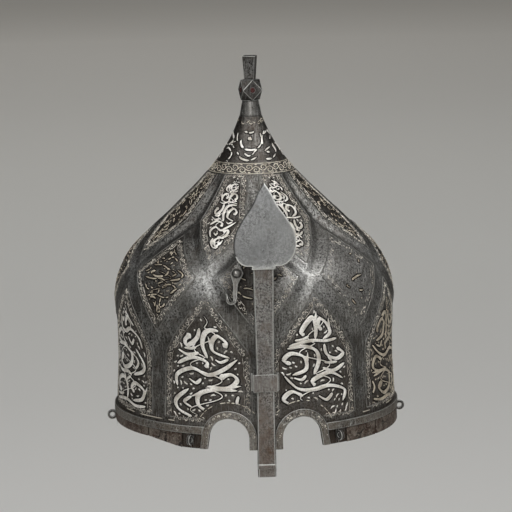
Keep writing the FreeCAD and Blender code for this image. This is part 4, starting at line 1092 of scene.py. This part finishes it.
def make_leaf(material):
    """The leaf's front, back and edge as one closed grid.

    Each row of the grid spans the outline's width at one height. A point's depth below the face
    depends on its distance from the outline, as a quarter circle. The edge and the foot are marked
    bright, partly as wear and partly as a painted highlight; the left edge carries painted shade,
    and the face painted light, paler to the right and in its middle.
    """
    heights, halves = leaf_outline()
    breaks = [heights[0], heights[2]]
    even = np.linspace(heights[2] + 1, LEAF_TIP - 0.05, 70)
    rows = np.concatenate([heights, *[low + LEAF_INSETS for low in breaks], even])
    rows = np.unique(np.round(rows, 4))
    half = np.maximum(np.interp(rows, heights, halves), 0.02)
    slope = np.minimum(np.sqrt(1 + np.gradient(half, rows) ** 2), LEAF_SLOPE_MOST)
    edge = np.maximum(half[:, None] - LEAF_INSETS * slope[:, None], 0.01 * half[:, None])
    inner = edge[:, -1:] * np.linspace(-1, 1, 23)[None, 1:-1]
    across = np.concatenate([-edge, inner, edge[:, ::-1]], axis=1)
    up = np.broadcast_to(rows[:, None], across.shape)
    corners = np.concatenate([np.column_stack([halves, heights]),
                              np.column_stack([-halves, heights])[::-1]])
    start, end = corners, np.roll(corners, -1, axis=0)
    along = end - start
    spot = np.stack([across, up], axis=-1)[..., None, :]
    share = ((spot - start) * along).sum(-1) / np.maximum((along ** 2).sum(-1), 1e-9)
    nearest = start + np.clip(share, 0, 1)[..., None] * along
    distance = np.hypot(*np.moveaxis(spot - nearest, -1, 0)).min(axis=-1)
    closeness = 1 - np.clip(distance / LEAF_EDGE, 0, 1)
    depth = 0.8 * LEAF_EDGE * (1 - np.sqrt(1 - closeness ** 2))
    rise = np.maximum(up - LEAF_BEND, 0)
    sag = LEAF_BEND_RADIUS - np.sqrt(LEAF_BEND_RADIUS ** 2 - rise ** 2)
    layers = []
    for level in (depth, np.full(depth.shape, LEAF_THICKNESS)):
        radius = LEAF_FRONT - sag - level
        forward = -np.sqrt(radius ** 2 - across ** 2)
        layers.append(np.stack([across, forward, up], axis=-1).reshape(-1, 3) * MM)
        layers[-1][:, 0] += np.interp(up.ravel(), LEAF_SWAY_HEIGHTS, LEAF_SWAY) * MM
    count_rows, count_columns = across.shape
    index = np.arange(count_rows * count_columns).reshape(count_rows, count_columns)
    front = np.stack([index[:-1, :-1], index[:-1, 1:], index[1:, 1:], index[1:, :-1]], axis=-1)
    front = front.reshape(-1, 4)
    back = front[:, ::-1] + index.size
    border = np.concatenate([index[0, :], index[1:, -1], index[-1, -2::-1], index[-2:0:-1, 0]])
    after = np.roll(border, -1)
    wall = np.column_stack([after, border, border + index.size, after + index.size])
    faces = np.concatenate([front, back, wall])
    leaf = new_piece("leaf", np.concatenate(layers), [faces], material)
    leaf.data.set_sharp_from_angle(angle=math.radians(60))
    # Painted shade down the left edge; painted highlight with wear on the other edges and the foot
    shaded_side = (across < 0) & (up > heights[2] + 8)
    foot = 0.7 * np.exp(-((up - heights[0]) / 3.4) ** 2)
    mottled = 0.55 + 0.45 * np.sin(2.1 * across) * np.sin(1.3 * across + 2.4 * up)
    rubbed = np.maximum(np.clip(closeness * 2.4, 0, 1), foot * mottled)
    rubbed = np.where(shaded_side, -np.clip(closeness * 2, 0, 1), rubbed)
    # Painted light on the face: darker to the left, paler to the right and in its middle
    face = 0.1 * across / LEAF_HALF + 0.07 * np.exp(-((up - 184) / 15) ** 2) - 0.03
    rubbed = np.where(closeness > 0.05, rubbed, rubbed + face)
    paint(leaf, "rubbed", np.concatenate([rubbed.ravel(), np.zeros(index.size)]))
    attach(leaf, "nasal")
    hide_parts("nasal_leaf")


# Materials

# Colours of what lies on the metals
STAIN_BROWN, SPECK_DARK, SPECK_PALE, SCRATCH_PALE = "#2b2724", "#1a1614", "#d6d6d2", "#c9c9c6"
GROUND_DARK, GROUND_PALE, BARE_INSIDE, SILVERLESS = "#39332e", "#5a524b", "#2c2826", "#5e5a54"
# Of the next line's colours, the hands' bright is wear, the field's pale a painted highlight, the
# edges' white wear with a painted highlight, and the edges' dark painted shade.
HAND_BRIGHT, PAINTED_HIGHLIGHT_PALE, EDGE_WEAR_AND_HIGHLIGHT, EDGE_SHADE_PAINTED = "#c9cac8", "#b4b2ae", "#f4f4f0", "#2e2d2c"
# The first colour on the next line is painted shadow and shade; the others are soot and the dark of
# seams and pits.
PAINTED_SHADE_BROWN, SOOT, SEAM_DIRT, PIT_DIRT = "#1d1916", "#1b1714", "#14110f", "#1d1a18"
SCALE_BLACK, SCALE_BROWN = "#0f0d0c", "#2b2724"
RUST_BROWN, RUST_GREY, RUST_PALE = "#43322a", "#756d64", "#a59b91"
RUST_DARK, CRACK = "#16110f", "#100c0b"
COPPER_BROWN, COPPER_RED = "#43292a", "#6f4a47"
# Old skin dulls every metal near edge-on, and keeps it from being quite metallic.
EDGE_TINT = (0.45, 0.45, 0.45, 1.0)
STEEL_METALLIC, COPPER_METALLIC, IRON_METALLIC = 0.82, 0.8, 0.45
SILVER_METALLIC, SCALE_METALLIC = 0.35, 0.2

# Real sizes of the steel's marks, in millimetres. Scratches and specks are drawn coarser than real
# ones, which are under 0.1 mm, so that they show in the render.
CLOUD_MM, STAIN_MM, PIT_MM, CALM_MM, PITTED_MM = 26, 9, 3.4, 17, 14
SCRATCH_MM = 0.5

# What some kinds of node are set to wherever a call says nothing else
USUAL = {"Mix": {"data_type": "RGBA"}, "Math": {"operation": "MULTIPLY"}}


def linear(hex_colour):
    """An sRGB hex colour as linear numbers with full alpha."""
    values = [int(hex_colour[place:place + 2], 16) / 255 for place in (1, 3, 5)]
    return [value / 12.92 if value <= 0.04045 else ((value + 0.055) / 1.055) ** 2.4
            for value in values] + [1.0]


def per_metre(millimetres):
    """Pattern scale whose features come once in so many millimetres."""
    return 1 / (millimetres * MM)


def add(tree, kind, inputs=(), output=None, **settings):
    """Adds a node with its settings, sets or links its inputs, and gives one of its outputs.

    Inputs are named, or come in the order in which the node shows them. The output is the one
    that is named, or else the first that the node shows.
    """
    node = tree.nodes.new("ShaderNode" + kind)
    for name, value in {**USUAL.get(kind, {}), **settings}.items():
        setattr(node, name, value)
    if isinstance(inputs, dict):
        pairs = [(node.inputs[name], value) for name, value in inputs.items()]
    else:
        pairs = zip([socket for socket in node.inputs if socket.enabled], inputs)
    for socket, value in pairs:
        if isinstance(value, bpy.types.NodeSocket):
            tree.links.new(value, socket)
        else:
            socket.default_value = value
    if output:
        return node.outputs[output]
    return next((socket for socket in node.outputs if socket.enabled), None)


def new_material(name):
    """A material with an empty tree, and the function that adds a node to it."""
    material = bpy.data.materials.new(name)
    material.use_nodes = True
    material.node_tree.nodes.clear()
    return material, partial(add, material.node_tree)


def finish_metal(node, colour, metallic, rough, height, depth_mm):
    """Closes a metal's tree: shader, bump from a height and the output."""
    bump = node("Bump", {"Distance": depth_mm * MM, "Height": height})
    shader = node("BsdfPrincipled", {"Base Color": colour, "Metallic": metallic, "Roughness": rough,
                                     "Normal": bump, "Specular Tint": EDGE_TINT})
    node("OutputMaterial", [shader])


def scratches(node, place, lean, across_mm, along_mm):
    """Fine straight scratches: noise drawn out along a line that leans by some degrees."""
    scale = (per_metre(across_mm), per_metre(along_mm / 2), per_metre(along_mm))
    leaning = node("Mapping", {"Vector": place, "Rotation": (0, math.radians(lean), 0),
                               "Scale": scale})
    return node("MapRange", [node("TexNoise", [leaning, 1.0, 1.0]), 0.62, 0.7])


def bowl_marks(node, place, level, cloud, stain, speck, colour):
    """What the bowl has over its steel, from first to last.

    It is dark ground under the inlay, a bare brown inside, places rubbed bright by hands, a painted
    highlight on the right front, painted shadow round the hook and below the leaf with painted
    shade on the sides, and soot round the neck.
    """
    cut_back, within, rubbed, painted_shade = [
        node("Attribute", output="Fac", attribute_name=name)
        for name in ("ground", "inside", "rubbed", "painted_shade")]
    away = node("VectorMath", [place, PAINTED_HIGHLIGHT_AT], "Value", operation="DISTANCE")
    dark = node("Mix", [node("MapRange", [stain, 0.35, 0.7]), linear(GROUND_DARK),
                        linear(GROUND_PALE)])
    share = node("Math", [cut_back, node("MapRange", [cloud, 0.25, 0.75, 0.75, 0.45])])
    # Less dark ground round the painted highlight on the right front
    share = node("Math", [share, node("MapRange", [away, 0.045, 0.085, 0.1, 1.0])])
    colour = node("Mix", [share, colour, dark])
    colour = node("Mix", [node("Math", [within, 0.55]), colour, linear(BARE_INSIDE)])
    bright = node("Math", [rubbed, node("MapRange", [speck, 0.35, 0.65, 0.05, 0.75])])
    bright = node("Math", [bright, node("MapRange", [stain, 0.36, 0.6, 0.45, 1.0])])
    colour = node("Mix", [bright, colour, linear(HAND_BRIGHT)])
    # Painted highlight: the bowl paler round a spot on its right front, where the key light falls
    field = node("Math", [node("MapRange", [away, 0.06, 0.02, 0.0, 0.75]),
                          node("MapRange", [speck, 0.35, 0.65])])
    colour = node("Mix", [field, colour, linear(PAINTED_HIGHLIGHT_PALE)])
    # Painted shadow and shade: the bowl darkened round the hook, below the leaf and on the sides
    colour = node("Mix", [node("Math", [painted_shade, 0.88]), colour, linear(PAINTED_SHADE_BROWN)])
    sooted = node("Math", [node("MapRange", [level, (NECK + 2) * MM, (NECK + 6) * MM, 0.0, 0.3]),
                           node("MapRange", [stain, 0.3, 0.6, 1.0, 0.35])])
    return node("Mix", [sooted, colour, linear(SOOT)])


def aged_steel(name, pale, deep, rust, speck_mm=1.5, rust_share=0.25, rough=(0.42, 0.6), bowl=False,
               contrast=1.0, pit_depth=0.25, hatch=0.35, rubbed=False, low_rust=None, seams=(),
               dirty_ring=None):
    """Forged steel, hand filed and centuries old: grey with soft stains, specks and corrosion pits.

    low_rust gives the heights between which rust takes over downwards, and how much. Dirt sits at
    the seams' heights, and in a ring round a place. A rubbed piece keeps an attribute that says
    where it is bright, from wear and a painted highlight, and where it carries painted shade, below
    0.
    """
    material, node = new_material(name)
    place = node("TexCoord", output="Object")
    level = node("SeparateXYZ", [place], "Z")
    cloud = node("TexNoise", [place, per_metre(CLOUD_MM), 4, 0.6])
    stain = node("TexNoise", [place, per_metre(STAIN_MM), 5, 0.7])
    speck = node("TexNoise", [place, per_metre(speck_mm), 3, 0.8])
    calm = node("TexNoise", [place, per_metre(CALM_MM)])
    pitted = node("TexNoise", [place, per_metre(PITTED_MM)])
    pits = node("TexVoronoi", [place, per_metre(PIT_MM)])
    pit = node("Math", [node("MapRange", [pits, 0.16, 0.05]),
                        node("MapRange", [pitted, 0.5, 0.62])])
    lines = node("Math", [scratches(node, place, 38, SCRATCH_MM, 11),
                          scratches(node, place, -32, SCRATCH_MM, 9)], operation="MAXIMUM")

    colour = node("Mix", [node("MapRange", [cloud, 0.32, 0.68]), linear(deep), linear(pale)])
    colour = node("Mix", [node("MapRange", [stain, 0.35, 0.65, 0.3 * contrast, 0.0]), colour,
                          linear(STAIN_BROWN)])
    darker = node("Mix", [0.7 * contrast, colour, linear(SPECK_DARK)])
    paler = node("Mix", [0.26 * contrast, colour, linear(SPECK_PALE)])
    specked = node("Mix", [node("MapRange", [speck, 0.4, 0.6]), darker, paler])
    colour = node("Mix", [node("MapRange", [calm, 0.38, 0.62, 0.0, 0.7]), specked, colour])
    colour = node("Mix", [node("Math", [lines, hatch]), colour, linear(SCRATCH_PALE)])
    if bowl:
        colour = bowl_marks(node, place, level, cloud, stain, speck, colour)
    rusty = node("MapRange", [stain, 0.62 - rust_share * 0.3, 0.85])
    if low_rust:
        top, foot, strength = low_rust
        low = node("MapRange", [level, top * MM, foot * MM, 0.0, strength])
        rusty = node("Math", [rusty, low], operation="ADD")
        rusty = node("Math", [rusty, node("MapRange", [speck, 0.25, 0.6, 0.4, 1.0])])
    colour = node("Mix", [rusty, colour, linear(rust)])
    if rubbed:
        # Bright numbers are edge wear with a painted highlight; below 0 they are painted shade
        edge = node("Attribute", output="Fac", attribute_name="rubbed")
        colour = node("Mix", [node("MapRange", [edge, 0, 1, 0, 0.95]), colour, linear(EDGE_WEAR_AND_HIGHLIGHT)])
        colour = node("Mix", [node("MapRange", [edge, 0, -1, 0, 0.75]), colour, linear(EDGE_SHADE_PAINTED)])
    dirty = []
    for seam in seams:
        above = node("Math", [level, seam * MM], operation="SUBTRACT")
        dirty.append((node("Math", [above], operation="ABSOLUTE"), 1.1, 0.5))
    if dirty_ring:
        centre, radius = dirty_ring
        centre = [number * MM for number in centre]
        dirty.append((node("VectorMath", [place, centre], "Value", operation="DISTANCE"),
                      radius + 1.5, radius + 0.8))
    for gap, clean, full in dirty:
        colour = node("Mix", [node("MapRange", [gap, clean * MM, full * MM, 0.0, 0.9]), colour,
                              linear(SEAM_DIRT)])
    colour = node("Mix", [node("Math", [pit, 0.8]), colour, linear(PIT_DIRT)])

    height = node("Math", [node("Math", [cloud, 1.2]), node("Math", [speck, 0.45])],
                  operation="ADD")
    height = node("Math", [height, node("Math", [lines, -0.3])], operation="ADD")
    height = node("Math", [height, node("Math", [pit, -1.0])], operation="ADD")
    finish_metal(node, colour, STEEL_METALLIC, node("MapRange", [stain, 0.3, 0.75, *rough]),
                 height, pit_depth)
    return material


def silver_inlay(name, pale, tarnish, rough, worn_from, worn_mm=3.1):
    """Hammered silver, scraped flush and worn: near white, with warm grey tarnish in its hollows.

    It is gone in patches, down to the keyed ground.
    """
    material, node = new_material(name)
    place = node("TexCoord", output="Object")
    cloud = node("TexNoise", [place, per_metre(11), 3, 0.6])
    speck = node("TexNoise", [place, per_metre(1.1), 3, 0.7])
    patch = node("TexNoise", [place, per_metre(worn_mm), 4, 0.7])
    worn = node("MapRange", [patch, worn_from, worn_from + 0.1])
    colour = node("Mix", [node("MapRange", [cloud, 0.42, 0.72]), linear(pale), linear(tarnish)])
    colour = node("Mix", [node("MapRange", [speck, 0.52, 0.72]), colour, linear(tarnish)])
    colour = node("Mix", [node("Math", [worn, 0.92]), colour, linear(SILVERLESS)])
    height = node("Math", [speck, node("Math", [worn, -0.8])], operation="ADD")
    finish_metal(node, colour, SILVER_METALLIC, rough, height, 0.12)
    return material


def niello(name):
    """The cut ground beside the silver, filled with dark scale: nearly black and dull."""
    material, node = new_material(name)
    place = node("TexCoord", output="Object")
    speck = node("TexNoise", [place, per_metre(1.2), 3, 0.7])
    colour = node("Mix", [node("MapRange", [speck, 0.35, 0.75]), linear(SCALE_BLACK),
                          linear(SCALE_BROWN)])
    finish_metal(node, colour, SCALE_METALLIC, 0.7, speck, 0.1)
    return material


def rusted_iron(name):
    """Thin iron sheet, deeply rusted and cleaned: brown and grey patches with a rough skin.

    Cracks follow the bent borders of cells about 26 mm wide, and fade where the patches are brown.
    """
    material, node = new_material(name)
    place = node("TexCoord", output="Object")
    cloud = node("TexNoise", [place, per_metre(8), 5, 0.7])
    speck = node("TexNoise", [place, per_metre(1.6), 4, 0.75])
    colour = node("Mix", [node("MapRange", [cloud, 0.38, 0.62]), linear(RUST_BROWN),
                          linear(RUST_GREY)])
    colour = node("Mix", [node("MapRange", [speck, 0.54, 0.66, 0.0, 0.7]), colour,
                          linear(RUST_PALE)])
    colour = node("Mix", [node("MapRange", [speck, 0.46, 0.36, 0.0, 0.8]), colour,
                          linear(RUST_DARK)])
    wander = node("TexNoise", [place, per_metre(7), 3.0], "Color")
    bend = (12 * MM, 12 * MM, 12 * MM)
    bent = node("VectorMath", [wander, bend, place], "Vector", operation="MULTIPLY_ADD")
    cracks = node("TexVoronoi", [bent, per_metre(26)], "Distance", feature="DISTANCE_TO_EDGE")
    broken = node("Math", [node("MapRange", [cracks, 0.035, 0.012]),
                           node("MapRange", [cloud, 0.42, 0.56, 0.2, 0.9])])
    colour = node("Mix", [broken, colour, linear(CRACK)])
    finish_metal(node, colour, IRON_METALLIC, node("MapRange", [speck, 0.3, 0.7, 0.55, 0.8]),
                 node("Math", [cloud, speck], operation="ADD"), 0.5)
    return material


def dull_copper(name):
    """Copper stud with old brown skin: red where it is rubbed."""
    material, node = new_material(name)
    place = node("TexCoord", output="Object")
    speck = node("TexNoise", [place, per_metre(1.4), 3, 0.6])
    colour = node("Mix", [node("MapRange", [speck, 0.35, 0.65]), linear(COPPER_BROWN),
                          linear(COPPER_RED)])
    finish_metal(node, colour, COPPER_METALLIC, 0.4, speck, 0.15)
    return material


# Frame's own nodes: edges eased and a finish for each

WELD_WITHIN = 0.00001
EASED_FROM = 32


def dress(names, material, ease_mm, rubbed=None):
    """Gives nodes a finish, welds their loose triangles and rounds their edges, rubbed or not."""
    for name in names:
        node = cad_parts[name]
        node.data.materials.clear()
        node.data.materials.append(material)
        node.data.materials.append(rubbed or material)
        count = len(node.data.polygons)
        node.data.polygons.foreach_set("material_index", np.zeros(count, np.int32))
        node.data.polygons.foreach_set("use_smooth", np.ones(count, bool))
        weld = node.modifiers.new("weld", "WELD")
        weld.merge_threshold = WELD_WITHIN
        bevel = node.modifiers.new("eased_edges", "BEVEL")
        bevel.width = ease_mm * MM
        bevel.segments = 2
        bevel.limit_method = "ANGLE"
        bevel.angle_limit = math.radians(EASED_FROM)
        bevel.use_clamp_overlap = False
        bevel.material = 1
        shading = node.modifiers.new("shading", "WEIGHTED_NORMAL")
        shading.keep_sharp = True


# Stage, lights and camera

# The paper from near to far, the horizon, and the room's light behind and before the helmet
PAPER_NEAR, PAPER_MIDDLE, PAPER_FAR, HORIZON = "#dddcd9", "#e3e2dd", "#e8e3da", "#7f7d78"
ROOM_BEHIND, ROOM_BEFORE = "#303030", "#929290"
FADE_FROM, FADE_TO = 8.5, 13.0
FLOOR_LEVEL, FLOOR_HALF = -0.36, 30.0


def make_floor():
    """A wide plain floor well below the helmet, which is held up as on a stand.

    Its paper is a little paler in the middle distance, which evens out the lamps' fall-off. Far
    out, beyond what the photograph's camera sees, it fades for the eye alone into the horizon's
    grey.
    """
    material, node = new_material("grey paper backdrop")
    place = node("TexCoord", output="Object")
    back = node("SeparateXYZ", [place], "Y")
    colour = node("Mix", [node("MapRange", [back, 0.8, 3.2]), linear(PAPER_NEAR),
                          linear(PAPER_MIDDLE)])
    colour = node("Mix", [node("MapRange", [back, 3.2, 11.0]), colour, linear(PAPER_FAR)])
    paper = node("BsdfPrincipled", {"Base Color": colour, "Roughness": 0.9})
    haze = node("Emission", {"Color": linear(HORIZON)})
    far = node("VectorMath", [place], "Value", operation="LENGTH")
    seen = node("LightPath", output="Is Camera Ray")
    share = node("Math", [seen, node("MapRange", [far, FADE_FROM, FADE_TO])])
    node("OutputMaterial", [node("MixShader", [share, paper, haze])])
    corners = np.array([(-1, -1), (1, -1), (1, 1), (-1, 1)]) * FLOOR_HALF
    corners = np.column_stack([corners, np.full(4, FLOOR_LEVEL)])
    floor = new_piece("floor", corners, [np.array([[0, 1, 2, 3]])], material, smooth=False)


def make_lamp(name, place, aim, size, power):
    """A softbox: a rectangular lamp at a place, turned to face its aim."""
    lamp = bpy.data.lights.new(name, "AREA")
    lamp.shape = "RECTANGLE"
    lamp.size, lamp.size_y = size
    lamp.energy = power
    light = bpy.data.objects.new(name, lamp)
    light.location = place
    light.rotation_euler = (Vector(aim) - Vector(place)).to_track_quat("-Z", "Y").to_euler()
    bpy.context.scene.collection.objects.link(light)


def make_camera():
    """The photograph's camera: a long lens, a little above the brow, rolled by about a degree."""
    azimuth, elevation, roll = map(math.radians, (CAMERA_AZIMUTH, CAMERA_ELEVATION, CAMERA_ROLL))
    back = Vector((math.sin(azimuth) * math.cos(elevation),
                   -math.cos(azimuth) * math.cos(elevation), math.sin(elevation)))
    right = Vector((math.cos(azimuth), math.sin(azimuth), 0))
    up = back.cross(right)
    rolled_right = right * math.cos(roll) - up * math.sin(roll)
    rolled_up = up * math.cos(roll) + right * math.sin(roll)
    data = bpy.data.cameras.new("camera")
    data.sensor_width = SENSOR
    data.lens = SENSOR * CAMERA_DISTANCE / (IMAGE_SIZE * CAMERA_SCALE)
    data.clip_end = CAMERA_FARTHEST
    camera = bpy.data.objects.new("camera", data)
    camera.rotation_mode = "QUATERNION"
    turned_to = Matrix((rolled_right, rolled_up, back)).transposed()
    camera.rotation_quaternion = turned_to.to_quaternion()
    camera.location = (Vector(CAMERA_TARGET) + back * CAMERA_DISTANCE) * MM
    bpy.context.scene.collection.objects.link(camera)
    bpy.context.scene.camera = camera


def make_light():
    """A dim room, brighter in front of the helmet, with a key light up on the right and fills."""
    world = bpy.data.worlds.new("studio")
    bpy.context.scene.world = world
    world.use_nodes = True
    world.node_tree.nodes.clear()
    node = partial(add, world.node_tree)
    forward = node("SeparateXYZ", [node("TexCoord", output="Generated")], "Y")
    light = node("Mix", [node("MapRange", [forward, 0.1, -0.95]), linear(ROOM_BEHIND),
                         linear(ROOM_BEFORE)])
    room = node("Background", {"Color": light, "Strength": 0.8})
    horizon = node("Background", {"Color": linear(HORIZON), "Strength": 1.0})
    seen = node("LightPath", output="Is Camera Ray")
    node("OutputWorld", [node("MixShader", [seen, room, horizon])])

    make_lamp("key_softbox", (0.95, -1.2, 2.05), (0, 0, 0.14), (0.8, 0.8), 40)
    make_lamp("front_softbox", (-0.4, -2.9, 0.9), (0, 0, 0.12), (1.2, 1.2), 10)
    make_lamp("left_softbox", (-1.15, -1.2, 1.85), (0, 0, 0.14), (0.7, 0.9), 22)
    # Rings of lamps over the floor: name, how far out they hang and aim, height, size and power
    rings = [("backdrop_far", 8, 11, 4.0, (6.0, 3.0), 62),
             ("backdrop_mid", 4.6, 6.5, 2.4, (3.0, 1.2), 13),
             ("backdrop", 2.2, 7, 2.6, (4.0, 1.5), 38)]
    sides = [("behind", (0, 1), 1.0), ("before", (0, -1), 0.6), ("left", (-1, 0), 0.6),
             ("right", (1, 0), 0.6)]
    for side, (x, y), share in sides:
        for name, out, aim, up, size, power in rings:
            make_lamp("%s_%s" % (name, side), (out * x, out * y, up),
                      (aim * x, aim * y, FLOOR_LEVEL), size, power * share)
    make_lamp("backdrop_near", (0.0, 0.9, 0.9), (0, 1.6, FLOOR_LEVEL), (1.6, 0.4), 3.0)


bpy.context.scene.view_settings.view_transform = "Standard"
make_camera()
make_light()
make_floor()

skull_steel = aged_steel("forged steel, inlaid bowl", "#68655f", "#393632", "#3d2f25", bowl=True,
                         speck_mm=1.6, contrast=1.25, low_rust=(34, 6, 0.8))
edge_steel = aged_steel("forged steel, rubbed ridges", "#96958f", "#6f6d68", "#4a3a30",
                        speck_mm=1.0, contrast=0.6)
rubbed_steel = aged_steel("forged steel, rubbed edges", "#d4d4d0", "#a9a9a4", "#5a4a3e",
                          rust_share=0.0, contrast=0.5)
leaf_steel = aged_steel("forged steel, planished leaf", "#acadad", "#8f9090", "#6a625a",
                        rust_share=0.0, speck_mm=1.8, contrast=0.7, pit_depth=0.1, hatch=0.15,
                        rubbed=True)
bar_steel = aged_steel("forged steel, filed bar", "#a5a29d", "#746f6b", "#5b4636", rust_share=0.5,
                       speck_mm=1.6, contrast=1.1, low_rust=(75, 10, 0.4))
hook_steel = aged_steel("forged steel, filed hook", "#8b8883", "#66635e", "#5b4636",
                        rust_share=0.0, contrast=0.4,
                        dirty_ring=(HOOK_RIVET, HOOK_RIVET_RADIUS))
rivet_steel = aged_steel("forged steel, domed rivet", "#c2c0bb", "#9c9995", "#5b4636",
                         rust_share=0.0, rough=(0.3, 0.42), contrast=0.4)
ring_iron = aged_steel("dark iron, ring eyes", "#4c4844", "#2b2826", "#3a2c22", contrast=0.6)
collar_steel = aged_steel("forged steel, turned collar", "#a3a19d", "#74726e", "#5b4636",
                          rust_share=0.0, rough=(0.24, 0.34), contrast=0.8,
                          seams=(BOWL_HEIGHT, COLLAR_TOP))
dark_steel = aged_steel("forged steel, dark fittings", "#45403c", "#282522", "#4a3a30",
                        contrast=1.0, seams=(COLLAR_TOP, KNOP_TOP))
band_steel = aged_steel("forged steel, rim band", "#999288", "#716a61", "#51402f", rust_share=0.5)
silver = silver_inlay("hammered silver", "#f3f0ea", "#b5aea2", 0.4, 0.66)
faded_silver = silver_inlay("hammered silver, tarnished and worn", "#cfc5b2", "#857a69", 0.5, 0.56)
wire_silver = silver_inlay("silver wire, tarnished", "#e9e3d7", "#948b7d", 0.45, 0.54, 6.0)
bright_wire = silver_inlay("silver wire, rubbed bright", "#efe8d8", "#aba18e", 0.45, 0.64)
dark_ground = niello("dark scale beside the inlay")
iron = rusted_iron("rusted iron sheet")
copper = dull_copper("dull copper")

make_skull(skull_steel)
make_ornament(silver, faded_silver, wire_silver, dark_ground, edge_steel)
make_neck_bands(silver, bright_wire, dark_ground)
make_rim_lines(bright_wire)
make_arch_inlay(wire_silver)
make_leaf(leaf_steel)

dress(["nasal_bar", "nasal_bracket"], bar_steel, 0.5, rubbed_steel)
dress(["apex_collar"], collar_steel, 0.3, rubbed_steel)
dress(["finial_stem"], dark_steel, 0.35, rubbed_steel)
dress(["mail_hook"], hook_steel, 0.6, rubbed_steel)
dress(["finial_knop"], dark_steel, 0.28, rubbed_steel)
dress(["hook_rivet"], rivet_steel, 0.12)
dress(["hook_washer", "spindle_rove"], dark_steel, 0.12)
dress(["nasal_leaf_rivets"], leaf_steel, 0.12)
dress(["left_eye_arch", "right_eye_arch", "rim_band"], band_steel, 0.35, rubbed_steel)
dress(["eye_arch_rivets", "rim_band_rivets"], band_steel, 0.1)
dress(["vervelles"], ring_iron, 0.4, rubbed_steel)
dress([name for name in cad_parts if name.startswith("rim_cover")], iron, 0.15)
dress(["knop_studs"], copper, 0.3)
